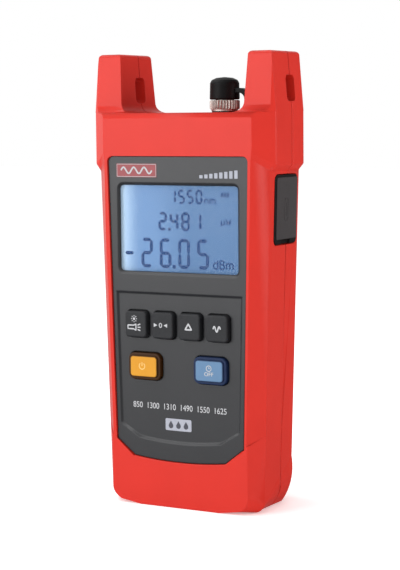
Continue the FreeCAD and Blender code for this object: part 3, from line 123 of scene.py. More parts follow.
@dataclass(frozen=True)
class Finish:
    """A moulded or machined surface: a slightly uneven colour over a fine grain.

    The grain is the tool's texture, drawn as a bump. The mottle is the slow change of tone and gloss
    that a large moulding shows. Edges that stay sharp in the mesh are shaded with a small round.
    """

    name: str
    colour: str
    roughness: float
    grain_mm: float
    grain_deep_mm: float
    mottle: float = 0.06
    mottle_mm: float = 14.0
    metallic: float = 0.0
    ior: float = 1.5
    specular: float = 0.5
    coat: float = 0.0
    alpha: float = 1.0
    edge_mm: float = 0.0
    glow: float = 0.0
    gloss_spread: float = 0.1
    mottle_detail: float = 3.0
    grain_detail: float = 2.0
    grain_rough: float = 0.6
    edge_samples: int = 6

    def tone(self, tree: bpy.types.NodeTree, place: bpy.types.NodeSocket) -> bpy.types.NodeSocket:
        """The base colour, a shade darker and lighter in slow patches.

        Args:
            tree: The material's node tree.
            place: Object coordinates.

        Returns:
            The colour socket.
        """
        patches = add(tree, "ShaderNodeTexNoise", {"Vector": place, "Scale": per_metre(self.mottle_mm),
                                                   "Detail": self.mottle_detail})
        shade = add(tree, "ShaderNodeMapRange", {"Value": patches.outputs["Fac"], "From Min": NOISE_LOW,
                                                 "From Max": NOISE_HIGH, "To Min": 1 - self.mottle,
                                                 "To Max": 1 + self.mottle})
        tint = add(tree, "ShaderNodeHueSaturation", {"Color": linear(self.colour),
                                                     "Value": shade.outputs["Result"]})
        return tint.outputs["Color"]

    def height(self, tree: bpy.types.NodeTree, place: bpy.types.NodeSocket) -> bpy.types.NodeSocket:
        """The grain that the bump is drawn from.

        Args:
            tree: The material's node tree.
            place: Object coordinates.

        Returns:
            The height socket.
        """
        grain = add(tree, "ShaderNodeTexNoise", {"Vector": place, "Scale": per_metre(self.grain_mm),
                                                 "Detail": self.grain_detail,
                                                 "Roughness": self.grain_rough})
        return grain.outputs["Fac"]

    def material(self) -> bpy.types.Material:
        """Build the material, or return it if it exists already.

        Returns:
            The material, with its nodes linked.
        """
        known = bpy.data.materials.get(self.name)
        if known:
            return known
        made = bpy.data.materials.new(self.name)
        made.use_nodes = True
        tree = made.node_tree
        shader = tree.nodes["Principled BSDF"]
        place = add(tree, "ShaderNodeTexCoord").outputs["Object"]
        tone = self.tone(tree, place)
        tree.links.new(tone, shader.inputs["Base Color"])
        height = self.height(tree, place)
        bump = add(tree, "ShaderNodeBump", {"Height": height, "Strength": 1.0,
                                            "Distance": self.grain_deep_mm * MM})
        if self.edge_mm:
            rounded = add(tree, "ShaderNodeBevel", {"Radius": self.edge_mm * MM},
                          samples=self.edge_samples)
            tree.links.new(rounded.outputs["Normal"], bump.inputs["Normal"])
        tree.links.new(bump.outputs["Normal"], shader.inputs["Normal"])
        gloss = add(tree, "ShaderNodeMapRange", {"Value": height, "From Min": NOISE_LOW,
                                                 "From Max": NOISE_HIGH,
                                                 "To Min": self.roughness * (1 - self.gloss_spread),
                                                 "To Max": self.roughness * (1 + self.gloss_spread)})
        tree.links.new(gloss.outputs["Result"], shader.inputs["Roughness"])
        constants = {"Metallic": self.metallic, "IOR": self.ior, "Specular IOR Level": self.specular,
                     "Coat Weight": self.coat, "Alpha": self.alpha}
        for socket, value in constants.items():
            shader.inputs[socket].default_value = value
        if self.glow:
            tree.links.new(tone, shader.inputs["Emission Color"])
            shader.inputs["Emission Strength"].default_value = self.glow
        return made


@dataclass(frozen=True)
class SkirtAndShadeFinish(Finish):
    """A silicone key whose printed face is bright and whose sides, behind the face's edge, are painted
    dark: partly the darker skirt of the key, partly painted shade on its side walls.
    """

    skirt_and_shade: str = "000000"
    face_y: float = -22.0
    edge: float = 0.3

    def tone(self, tree: bpy.types.NodeTree, place: bpy.types.NodeSocket) -> bpy.types.NodeSocket:
        """The face colour at the front, and a dark colour behind the rounded edge: partly the skirt's own
        colour, partly painted shade.

        Args:
            tree: The material's node tree.
            place: Object coordinates.

        Returns:
            The colour socket.
        """
        face = super().tone(tree, place)
        split = add(tree, "ShaderNodeSeparateXYZ", {"Vector": place})
        # Behind the face the sides are painted dark: partly the skirt's own colour, partly painted shade on
        # the side walls
        depth = add(tree, "ShaderNodeMapRange", {"Value": split.outputs["Y"], "From Min": self.face_y * MM,
                                                 "From Max": (self.face_y + self.edge) * MM},
                    interpolation_type="SMOOTHSTEP")
        mixed = add(tree, "ShaderNodeMix", {"Factor": depth.outputs["Result"], "A": face,
                                            "B": linear(self.skirt_and_shade)}, data_type="RGBA")
        return mixed.outputs[MIXED_COLOUR]


@dataclass(frozen=True)
class LitFinish(Finish):
    """A backlit display: the light comes in at the left, falls off fast and then fades to the right."""

    near: str = "FFFFFF"
    far: str = "000000"
    lit_edge: float = -27.7
    bright_to: float = -17.5
    fades_to: float = 8.0
    fall: float = 2.2

    def tone(self, tree: bpy.types.NodeTree, place: bpy.types.NodeSocket) -> bpy.types.NodeSocket:
        """A colour that goes from the lit edge through the middle to the far edge.

        Args:
            tree: The material's node tree.
            place: Object coordinates.

        Returns:
            The colour socket.
        """
        across = add(tree, "ShaderNodeSeparateXYZ", {"Vector": place}).outputs["X"]
        dims = add(tree, "ShaderNodeMapRange", {"Value": across, "From Min": self.bright_to * MM,
                                                "From Max": self.fades_to * MM},
                   interpolation_type="SMOOTHSTEP")
        even = add(tree, "ShaderNodeMix", {"Factor": dims.outputs["Result"], "A": linear(self.colour),
                                           "B": linear(self.far)}, data_type="RGBA")
        close = add(tree, "ShaderNodeMapRange", {"Value": across, "From Min": self.bright_to * MM,
                                                 "From Max": self.lit_edge * MM})
        lit = add(tree, "ShaderNodeMath", {0: close.outputs["Result"], 1: self.fall}, operation="POWER")
        mixed = add(tree, "ShaderNodeMix", {"Factor": lit.outputs["Value"], "A": even.outputs[MIXED_COLOUR],
                                            "B": linear(self.near)}, data_type="RGBA")
        return mixed.outputs[MIXED_COLOUR]


# ABS with a soft satin grain, spark eroded in the tool: an even red that takes a broad, weak highlight
CASE_RED = Finish("abs_red_satin", "C0281D", 0.36, 0.6, 0.012, mottle=0.025, specular=0.2, edge_mm=0.25)
# ABS with a matt grain: a dark, slightly blue grey
PANEL_GREY = Finish("abs_dark_grey_matt", "252629", 0.4, 0.5, 0.014, mottle=0.04, specular=0.5, edge_mm=0.6)
# Silicone with a rough moulded face, darker than the panel
KEY_DARK = Finish("silicone_charcoal", "222326", 0.62, 0.6, 0.05, mottle=0.06, mottle_mm=3.0, specular=0.35)
# Silicone with an orange printed face over sides painted brown: partly a darker skirt, partly painted shade
KEY_ORANGE = SkirtAndShadeFinish("silicone_orange_face", "CB8D24", 0.5, 0.5, 0.015, mottle=0.03, specular=0.2,
                           skirt_and_shade="3A2005")
# Silicone with a pale blue printed face over sides painted navy: partly a darker skirt, partly painted
# shade
KEY_BLUE = SkirtAndShadeFinish("silicone_blue_face", "5C7C9C", 0.5, 0.5, 0.015, mottle=0.03, specular=0.2,
                         skirt_and_shade="182848")
# Cast acrylic: clear, with only a faint tint and a sharp reflection
WINDOW_CLEAR = Finish("acrylic_clear", "C9D8EC", 0.06, 3.0, 0.0005, mottle=0.02, alpha=0.03)
# Liquid crystal glass over a blue light guide: brightest at the lamp's edge
LCD_BLUE = LitFinish("lcd_glass_lit", "56779F", 0.35, 2.0, 0.001, near="A3BCD3", far="436389", specular=0.1,
                     glow=0.3)
# The display's crystal when driven: a deep blue, with the light guide showing through a little
SEGMENT_BLUE = Finish("lcd_segment_dark", "063469", 0.4, 1.0, 0.001, mottle=0.08, mottle_mm=2.0,
                      specular=0.1)
# EPDM rubber: black and matt, with the fine stipple of its mould
RUBBER_BLACK = Finish("epdm_black", "070708", 0.5, 0.4, 0.02, specular=0.14)
# Soft PVC at the door's rim, painted nearly black: painted shade for the dark gap and the shadowed chamfers
# round the door
DOOR_RIM_SHADE = Finish("pvc_door_rim_painted_shade", "0E0B0C", 0.5, 0.5, 0.01, specular=0.25, edge_mm=0.3)
# Soft PVC: a dark grey door with a matt mould grain
RUBBER_GREY = Finish("pvc_soft_grey", "373334", 0.58, 0.5, 0.02, specular=0.35, edge_mm=0.3)
# Nickel plate over bead-blasted brass: pale, with a coarse sparkle
NICKEL = Finish("nickel_bead_blasted", "B4ABA5", 0.46, 0.45, 0.08, mottle=0.2, mottle_mm=0.9, metallic=1.0)
# Zinc-plated steel: brighter than the nickel, with a bluish cast
SCREW_STEEL = Finish("steel_zinc_plated", "B9BDC2", 0.3, 0.3, 0.01, mottle=0.08, mottle_mm=2.0,
                     metallic=1.0)
# Glass-fibre board under green solder mask: glossy, with the weave showing a little
BOARD_GREEN = Finish("board_solder_mask", "1F5A38", 0.28, 0.6, 0.01, mottle=0.12, mottle_mm=1.0, coat=0.4)
# Zirconia: white and polished
CERAMIC = Finish("zirconia_polished", "EDEBE4", 0.18, 0.3, 0.002)
# Glass-filled nylon: black with a dull skin
NYLON_BLACK = Finish("nylon_black", "1C1C1E", 0.55, 0.5, 0.03)
# Shrink film over a steel can: glossy, with faint waves where it shrank
CELL_JACKET = Finish("cell_shrink_film", "2F4A6B", 0.3, 2.0, 0.004)
# Opal polycarbonate: a milky light guide
OPAL = Finish("polycarbonate_opal", "E9EDF2", 0.22, 0.8, 0.004, mottle=0.03)
# Screen ink, white: a thin matt film with small gaps in its cover
INK_WHITE = Finish("screen_ink_white", "ABACAF", 0.6, 0.3, 0.004, mottle=0.08, mottle_mm=0.8)
# Screen ink, pale grey, for the plate and the level bars on the panel
INK_PALE = Finish("screen_ink_pale", "989BA6", 0.55, 0.3, 0.004, mottle=0.05, mottle_mm=1.5)
# Screen ink, cream, thin enough for the orange key to show through
INK_CREAM = Finish("screen_ink_cream", "D8B068", 0.55, 0.3, 0.004, mottle=0.06, mottle_mm=0.8)
# Screen ink, dull red, for the badge
INK_RED = Finish("screen_ink_red", "8A4044", 0.55, 0.3, 0.004, mottle=0.06, mottle_mm=1.5)
# Screen ink, dark grey, on the pale plate
INK_DARK = Finish("screen_ink_dark", "3B3D47", 0.55, 0.3, 0.004, mottle=0.05, mottle_mm=1.5)


# Meshes


def spans(points: Iterable[Vector]) -> list[tuple[float, float]]:
    """The lowest and the highest value of some points along each axis."""
    return [(min(values), max(values)) for values in zip(*points)]


def pushed_out(mesh: bmesh.types.BMesh, outline: Iterable[Vector], reach: Vector) -> None:
    """Add a solid to a mesh: the face inside an outline, pushed out by a reach.

    Args:
        mesh: The bmesh that gets the solid.
        outline: The corners of the face, in order.
        reach: How far and where to the face is pushed.
    """
    face = mesh.faces.new([mesh.verts.new(corner * MM) for corner in outline])
    pushed = bmesh.ops.extrude_face_region(mesh, geom=[face])["geom"]
    raised = [item for item in pushed if isinstance(item, bmesh.types.BMVert)]
    bmesh.ops.translate(mesh, verts=raised, vec=reach * MM)


def finished(mesh: bmesh.types.BMesh, name: str, finish: Finish,
             sharp_deg: float = SHARP_DEG) -> bpy.types.Object:
    """Make an object of a finished bmesh, smooth apart from its sharp edges.

    Args:
        mesh: The bmesh, which is freed.
        name: The piece's name.
        finish: The finish that it gets.
        sharp_deg: Edges that turn more than this stay sharp.

    Returns:
        The object, at the origin.
    """
    data = bpy.data.meshes.new(name)
    mesh.to_mesh(data)
    mesh.free()
    data.materials.clear()
    data.materials.append(finish.material())
    data.shade_smooth()
    data.set_sharp_from_angle(angle=math.radians(sharp_deg))
    piece = bpy.data.objects.new(name, data)
    bpy.context.scene.collection.objects.link(piece)
    return piece


def joined_copy(node: str) -> bmesh.types.BMesh:
    """A copy of a node's triangles with its doubled points merged and its flat faces whole.

    Args:
        node: The node that is copied.

    Returns:
        A new bmesh.
    """
    flat_deg = 0.3
    copy = bmesh.new()
    copy.from_mesh(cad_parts[node].data)
    bmesh.ops.remove_doubles(copy, verts=copy.verts, dist=SAME_PLACE * MM)
    bmesh.ops.dissolve_limit(copy, angle_limit=math.radians(flat_deg), use_dissolve_boundaries=False,
                             verts=copy.verts, edges=copy.edges, delimit=set())
    return copy


class Chain(Enum):
    """Which sharp edges of a moulding are rounded."""

    LONG = "long edges that stand clear of small faces"
    WHOLE = "whole chains, with the short edges round their corners"


@dataclass(frozen=True)
class EdgeRound:
    """How a copy of a node has its sharp edges rounded off.

    Where long edges are rounded, the largest face at a corner leads its shading, and faces whose areas
    differ by less than same_area, in square millimetres, count as equal.
    """

    reach: float
    chain: Chain
    least_deg: float = 18.0
    least_run: float = 3.0
    room: float = 1.6
    least_turn_deg: float = 15.0
    large_face_lead: int = 75
    same_area: float = 1.0

    def leaves_room(self, edge: bmesh.types.BMEdge, wanted: set[bmesh.types.BMEdge]) -> bool:
        """Whether every other edge at an edge's ends is long enough and turns far enough from it.

        Args:
            edge: The edge that is to be rounded.
            wanted: All edges that are to be rounded.

        Returns:
            True where the round fits.
        """
        for end in edge.verts:
            along = edge.other_vert(end).co - end.co
            for other in end.link_edges:
                if other is edge or (self.chain is Chain.WHOLE and other in wanted):
                    continue
                run = other.other_vert(end).co - end.co
                short = run.length < self.room * self.reach * MM
                if short or along.angle(run) < math.radians(self.least_turn_deg):
                    return False
        return True

    def apply(self, mesh: bmesh.types.BMesh) -> None:
        """Round the edges that leave room for it, and keep the mesh inside the box that it fills.

        Args:
            mesh: The bmesh that is changed.
        """
        box = spans(vert.co for vert in mesh.verts)
        wanted = {edge for edge in mesh.edges
                  if len(edge.link_faces) == 2 and edge.calc_face_angle() > math.radians(self.least_deg)}
        if self.chain is Chain.LONG:
            wanted = {edge for edge in wanted if edge.calc_length() > self.least_run * self.reach * MM}
        kept = {edge for edge in wanted if self.leaves_room(edge, wanted)}
        while len(kept) < len(wanted):
            wanted = kept
            kept = {edge for edge in wanted if self.leaves_room(edge, wanted)}
        bmesh.ops.bevel(mesh, geom=[edge for edge in mesh.edges if edge in kept], offset=self.reach * MM,
                        offset_type="OFFSET", segments=2, profile=0.5, affect="EDGES", clamp_overlap=False,
                        material=-1, loop_slide=False)
        for vert in mesh.verts:
            vert.co = [min(max(value, low), high) for value, (low, high) in zip(vert.co, box)]


def dress_node(node: str, finish: Finish) -> None:
    """Give a node that stays as it is its finish.

    Args:
        node: The node.
        finish: Its finish.
    """
    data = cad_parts[node].data
    data.materials.clear()
    data.materials.append(finish.material())
    log.info("%s: %s", node, finish.name)


def stand_for(piece: bpy.types.Object, node: str, body: str) -> None:
    """Let a piece take a node's place on its body, and hide the node.

    Args:
        piece: The new piece.
        node: The node that it replaces.
        body: The body that it rides on.
    """
    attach(piece, body)
    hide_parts(node)
    log.info("%s stands for %s on %s", piece.name, node, body)


def moulded(node: str, body: str, finish: Finish,
            rounding: EdgeRound | None = None) -> bpy.types.Object:
    """Replace a node by a copy with smooth faces and, where asked, rounded edges.

    Args:
        node: The node that is copied and replaced.
        body: The body that it rides on.
        finish: Its finish.
        rounding: How its edges are rounded, if they are.

    Returns:
        The new piece.
    """
    mesh = joined_copy(node)
    if rounding:
        rounding.apply(mesh)
    piece = finished(mesh, node + "_moulded", finish)
    even = piece.modifiers.new("even_faces", "WEIGHTED_NORMAL")
    even.keep_sharp = True
    if rounding and rounding.chain is Chain.LONG:
        even.weight = rounding.large_face_lead
        even.thresh = rounding.same_area * MM * MM
    stand_for(piece, node, body)
    return piece


# Marks on a flat face


def facing_front(y: float) -> Matrix:
    """A plane that looks out of the front: across is +X, up is +Z, out is -Y."""
    return Matrix(((1, 0, 0, 0), (0, 0, -1, y * MM), (0, 1, 0, 0), (0, 0, 0, 1)))


def arc(centre: Point, radius: float, from_deg: float, to_deg: float, steps: int = 20) -> list[Point]:
    """Points along an arc, counted anticlockwise from the right.

    Args:
        centre: The arc's centre.
        radius: Its radius.
        from_deg: Where it starts.
        to_deg: Where it ends.
        steps: How many lengths it has.

    Returns:
        The points, both ends among them.
    """
    turns = [math.radians(from_deg + (to_deg - from_deg) * n / steps) for n in range(steps + 1)]
    return [(centre[0] + radius * math.cos(turn), centre[1] + radius * math.sin(turn)) for turn in turns]


def rounded_box(centre: Point, wide: float, tall: float, corner: float) -> list[Point]:
    """The outline of a rounded rectangle, anticlockwise.

    Args:
        centre: Its middle.
        wide: Its width.
        tall: Its height.
        corner: The radius of its corners.

    Returns:
        The outline's points.
    """
    x, z = wide / 2 - corner, tall / 2 - corner
    corners = [(x, z, 0), (-x, z, 90), (-x, -z, 180), (x, -z, 270)]
    return [point for dx, dz, turn in corners
            for point in arc((centre[0] + dx, centre[1] + dz), corner, turn, turn + 90, 6)]


def wave(middle: Point, wide: float, rise: float, turns: float, steps: int) -> list[Point]:
    """Points along a wave that runs from left to right.

    Args:
        middle: The wave's middle.
        wide: Its length.
        rise: Its height above the middle.
        turns: How many waves it has.
        steps: How many lengths it is drawn with.

    Returns:
        The points, both ends among them.
    """
    full = 2 * math.pi * turns
    return [(middle[0] + wide * (n / steps - 0.5), middle[1] + rise * math.sin(full * n / steps))
            for n in range(steps + 1)]


def placed(path: Sequence[Point], at: Point, wide: float = 1.0, tall: float = 1.0) -> list[Point]:
    """A path drawn about the origin, stretched and moved to its place."""
    return [(at[0] + wide * x, at[1] + tall * z) for x, z in path]


class Marks:
    """Thin marks on one plane, gathered in one mesh: strokes, solid shapes and figures."""

    def __init__(self, place: Matrix, thick: float = 0.05) -> None:
        """Start with no marks.

        Args:
            place: The plane, as a matrix from across, up and out to the frame.
            thick: How far the marks stand out.
        """
        self.place = place
        self.thick = thick
        self.mesh = bmesh.new()

    def shape(self, outline: Sequence[Point]) -> None:
        """Add a solid shape inside an outline."""
        pushed_out(self.mesh, [Vector((x, z, 0)) for x, z in outline], Vector((0, 0, self.thick)))

    def drawn(self, curve: bpy.types.Curve, shift: Vector, scale: Vector) -> None:
        """Add what a curve draws, moved and then scaled, and drop the curve.

        Args:
            curve: The curve, which is removed.
            shift: How far it is moved.
            scale: How it is scaled along each axis.
        """
        holder = bpy.data.objects.new("drawn", curve)
        data = bpy.data.meshes.new_from_object(holder)
        data.transform(Matrix.Diagonal((*scale, 1)) @ Matrix.Translation(shift))
        self.mesh.from_mesh(data)
        bpy.data.objects.remove(holder)
        bpy.data.meshes.remove(data)
        bpy.data.curves.remove(curve)

    @staticmethod
    def eased(path: Sequence[Point], wide: float) -> list[Point]:
        """Add points beside the corners of a path, so that a line keeps its width between them.

        Args:
            path: The path's corners.
            wide: The width of the line.

        Returns:
            The corners with the added points.
        """
        beside = 0.6 * wide
        points = [path[0]]
        for start, end in zip(path, path[1:]):
            run = Vector(end) - Vector(start)
            if run.length > 2 * wide:
                step = run.normalized() * beside
                points += [Vector(start) + step, Vector(end) - step]
            points.append(end)
        return points

    def strokes(self, paths: Sequence[Sequence[Point]], wide: float) -> None:
        """Add lines of one width along paths, closed where a path ends at its start, and flattened.

        Args:
            paths: The corners of each path.
            wide: The width of the lines.
        """
        curve = bpy.data.curves.new("strokes", "CURVE")
        curve.dimensions = "3D"
        curve.bevel_depth = wide / 2 * MM
        curve.bevel_resolution = 2
        curve.use_fill_caps = True
        for path in paths:
            closed = math.dist(path[0], path[-1]) < SAME_PLACE
            corners = self.eased(path, wide)[:-1] if closed else self.eased(path, wide)
            spline = curve.splines.new("POLY")
            spline.use_cyclic_u = closed
            spline.points.add(len(corners) - 1)
            for point, (x, z) in zip(spline.points, corners):
                point.co = (x * MM, z * MM, 0, 1)
        self.drawn(curve, Vector((0, 0, 0)), Vector((1, 1, 2 * self.thick / wide)))

    def words(self, text: str, low_left: Point, wide: float, tall: float, weight: float = 0.01) -> None:
        """Add figures or a unit that fill a box.

        Args:
            text: What is drawn.
            low_left: The box's lower left corner.
            wide: The box's width.
            tall: The box's height.
            weight: How far the strokes are thickened, as a share of the type size.
        """
        curve = bpy.data.curves.new("words", "FONT")
        curve.body = text
        curve.offset = weight
        curve.extrude = 0.5
        probe = bpy.data.objects.new("probe", curve)
        data = bpy.data.meshes.new_from_object(probe)
        reach = spans(vert.co for vert in data.vertices)
        bpy.data.objects.remove(probe)
        bpy.data.meshes.remove(data)
        sizes = (wide, tall, self.thick)
        scale = Vector([size * MM / (span[1] - span[0]) for size, span in zip(sizes, reach)])
        corner = Vector((low_left[0] * MM / scale.x, low_left[1] * MM / scale.y, 0))
        self.drawn(curve, corner - Vector([span[0] for span in reach]), scale)

    def piece(self, name: str, finish: Finish, body: str) -> bpy.types.Object:
        """Finish the marks as one piece that rides on a body.

        Args:
            name: The piece's name.
            finish: Its finish.
            body: The body that it rides on.

        Returns:
            The piece.
        """
        bmesh.ops.remove_doubles(self.mesh, verts=self.mesh.verts, dist=SAME_PLACE * MM)
        bmesh.ops.recalc_face_normals(self.mesh, faces=self.mesh.faces)
        bmesh.ops.transform(self.mesh, matrix=self.place, verts=self.mesh.verts)
        made = finished(self.mesh, name, finish)
        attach(made, body)
        log.info("%s on %s", name, body)
        return made


# The case


@dataclass
class CaseShells:
    """The two red halves, the battery cover at the back and the seals between them."""

    shell_round: float = 0.4
    cover_round: float = 0.3

    def build(self) -> None:
        """Dress the halves, the cover and the seals."""
        for node in ("front_shell", "rear_shell"):
            moulded(node, CASE_BODY, CASE_RED, EdgeRound(self.shell_round, Chain.LONG))
        moulded("battery_cover", CASE_BODY, CASE_RED, EdgeRound(self.cover_round, Chain.WHOLE))
        for node in ("shell_gasket", "cover_seal"):
            dress_node(node, RUBBER_BLACK)


@dataclass
class Screws:
    """The case's and the cover's screws, each with a cross recess in its head."""

    recess_half: float = 1.25
    recess_wide: float = 0.7
    recess_deep: float = 0.9

    def cross(self, cutter: bmesh.types.BMesh, x: float, head_y: float, z: float) -> None:
        """Add the cutter for one head: a cross that reaches out of its face.

        Args:
            cutter: The bmesh that holds the cutters.
            x: The screw's axis, across.
            head_y: The rear face of its head.
            z: The screw's axis, up.
        """
        reach, half = self.recess_half, self.recess_wide / 2
        arm = [Vector((reach, -half)), Vector((reach, half)), Vector((half, half))]
        quarters = [Matrix.Rotation(math.radians(90 * n), 2) for n in range(4)]
        outline = [turn @ corner for turn in quarters for corner in arm]
        floor = head_y - self.recess_deep
        pushed_out(cutter, [Vector((x + p.x, floor, z + p.y)) for p in outline],
                   Vector((0, 2 * self.recess_deep, 0)))

    def build(self) -> None:
        """Replace each group of screws by a copy with the recesses cut in."""
        for node in ("cover_screws", "shell_screws"):
            mesh = joined_copy(node)
            cutter = bmesh.new()
            for x, head_y, z in self.axes(mesh):
                self.cross(cutter, x, head_y, z)
            bmesh.ops.recalc_face_normals(cutter, faces=cutter.faces)
            piece = finished(mesh, node + "_crossed", SCREW_STEEL)
            self.cut(piece, cutter)
            piece.data.set_sharp_from_angle(angle=math.radians(SHARP_DEG))
            stand_for(piece, node, CASE_BODY)

    @staticmethod
    def axes(mesh: bmesh.types.BMesh) -> list[tuple[float, float, float]]:
        """Where each screw of a group stands: its axis and the rear face of its head.

        Args:
            mesh: The group, one island for each screw.

        Returns:
            For each screw the axis across, the head's face and the axis up.
        """
        left = set(mesh.verts)
        found = []
        for first in mesh.verts:
            if first not in left:
                continue
            island = {first}
            edge = {first}
            while edge:
                edge = {e.other_vert(v) for v in edge for e in v.link_edges} - island
                island |= edge
            left -= island
            reach = spans(vert.co for vert in island)
            across, depth, up = ((low / MM, high / MM) for low, high in reach)
            found.append((sum(across) / 2, depth[1], sum(up) / 2))
        return found

    @staticmethod
    def cut(piece: bpy.types.Object, cutter: bmesh.types.BMesh) -> None:
        """Cut a shape out of a piece for good.

        Args:
            piece: The piece that is cut.
            cutter: The shape, which is freed.
        """
        tool = finished(cutter, "recess_cutter", SCREW_STEEL)
        hole = piece.modifiers.new("recess", "BOOLEAN")
        hole.object = tool
        hole.solver = "EXACT"
        bpy.context.view_layer.update()
        cut_piece = piece.evaluated_get(bpy.context.evaluated_depsgraph_get())
        cut_mesh = bpy.data.meshes.new_from_object(cut_piece)
        piece.modifiers.clear()
        old, piece.data = piece.data, cut_mesh
        bpy.data.meshes.remove(old)
        bpy.data.objects.remove(tool)


# The front panel and what it shows


@dataclass
class FrontPanel:
    """The dark panel with its print: a red badge, level bars, a row of figures and a pale plate."""

    face_y: float = -20.2
    field_y: float = -19.4
    edge_round: float = 0.15
    over_ink: float = 0.09
    badge_mid: Point = (-19.35, 140.4)
    badge_wide: float = 19.3
    badge_tall: float = 5.6
    badge_corner: float = 0.3
    badge_line: float = 0.25
    wave_margin: float = 2.2
    wave_rise: float = 1.3
    wave_turns: float = 3.0
    wave_steps: int = 36
    wave_line: float = 0.9
    bars_from: float = 10.6
    bars_low: float = 137.4
    bar_wide: float = 1.5
    bar_pitch: float = 2.3
    bar_count: int = 8
    bar_least: float = 1.0
    bar_rise: float = 2.3
    bar_corner: float = 0.2
    figures: str = "850  1300  1310  1490  1550  1625"
    figures_at: Point = (-22.7, 41.0)
    figures_wide: float = 44.6
    figures_tall: float = 2.5
    figures_weight: float = 0.006
    plate_mid: Point = (-0.9, 34.9)
    plate_wide: float = 12.4
    plate_tall: float = 5.0
    plate_corner: float = 0.6
    drop_pitch: float = 3.6
    drop_low: float = 0.5
    drop_radius: float = 1.1
    drop_tip: float = 2.1

    def badge(self) -> None:
        """A red field with a thin pale frame and a plain wave in it."""
        field = Marks(facing_front(self.face_y))
        field.shape(rounded_box(self.badge_mid, self.badge_wide, self.badge_tall, self.badge_corner))
        field.piece("badge_field", INK_RED, CASE_BODY)
        line = Marks(facing_front(self.face_y), self.over_ink)
        wide, tall = self.badge_wide - 2 * self.badge_line, self.badge_tall - 2 * self.badge_line
        border = rounded_box(self.badge_mid, wide, tall, self.badge_corner)
        line.strokes([border + border[:1]], self.badge_line)
        line.strokes([wave(self.badge_mid, self.badge_wide - 2 * self.wave_margin, self.wave_rise,
                           self.wave_turns, self.wave_steps)], self.wave_line)
        line.piece("badge_lines", INK_WHITE, CASE_BODY)

    def level_bars(self) -> None:
        """A row of bars that rise to the right, like a level scale."""
        bars = Marks(facing_front(self.face_y))
        for n in range(self.bar_count):
            tall = self.bar_least + self.bar_rise * (n + 1) / self.bar_count
            middle = (self.bars_from + self.bar_wide / 2 + n * self.bar_pitch, self.bars_low + tall / 2)
            bars.shape(rounded_box(middle, self.bar_wide, tall, self.bar_corner))
        bars.piece("level_bars", INK_PALE, CASE_BODY)

    def lower_print(self) -> None:
        """A row of figures, and a pale plate with three drops on it."""
        row = Marks(facing_front(self.field_y))
        row.words(self.figures, self.figures_at, self.figures_wide, self.figures_tall, self.figures_weight)
        row.piece("wavelength_figures", INK_WHITE, CASE_BODY)
        plate = Marks(facing_front(self.field_y))
        plate.shape(rounded_box(self.plate_mid, self.plate_wide, self.plate_tall, self.plate_corner))
        plate.piece("pale_plate", INK_PALE, CASE_BODY)
        drops = Marks(facing_front(self.field_y), self.over_ink)
        for n in (-1, 0, 1):
            x, z = self.plate_mid[0] + n * self.drop_pitch, self.plate_mid[1] - self.drop_low
            drops.shape([(x, z + self.drop_tip)] + arc((x, z), self.drop_radius, 150, 390, 14))
        drops.piece("plate_drops", INK_DARK, CASE_BODY)

    def build(self) -> None:
        """Dress the panel and print on it."""
        moulded("front_panel", CASE_BODY, PANEL_GREY, EdgeRound(self.edge_round, Chain.WHOLE))
        self.badge()
        self.level_bars()
        self.lower_print()


@dataclass
class Row:
    """A row of display figures: where the first stands, how far apart they are and how large."""

    figures: str
    left: float
    low: float
    pitch: float
    wide: float
    tall: float
    line: float


# The letters of the units as strokes in a box one wide, with small letters one tall
UNIT_LETTERS: dict[str, list[list[Point]]] = {
    "n": [[(0, 0), (0, 1)], [(0, 0.7), (0.3, 1), (0.75, 1), (1, 0.7), (1, 0)]],
    "m": [[(0, 0), (0, 1)], [(0, 0.75), (0.2, 1), (0.4, 0.95), (0.5, 0.7), (0.5, 0)],
          [(0.5, 0.75), (0.7, 1), (0.9, 0.95), (1, 0.7), (1, 0)]],
    "µ": [[(0, -0.4), (0, 1)], [(0, 0.3), (0.25, 0), (0.75, 0), (1, 0.3)], [(1, 0), (1, 1)]],
    "W": [[(0, 1.3), (0.25, 0), (0.5, 0.9), (0.75, 0), (1, 1.3)]],
    "d": [[(1, 0), (1, 1.45)],
          [(1, 0.8), (0.7, 1), (0.3, 1), (0, 0.7), (0, 0.3), (0.3, 0), (0.7, 0), (1, 0.2)]],
    "B": [[(0, 0), (0, 1.4), (0.7, 1.4), (0.9, 1.25), (0.9, 0.95), (0.7, 0.75), (0, 0.75)],
          [(0.7, 0.75), (1, 0.55), (1, 0.2), (0.75, 0), (0, 0)]],
}


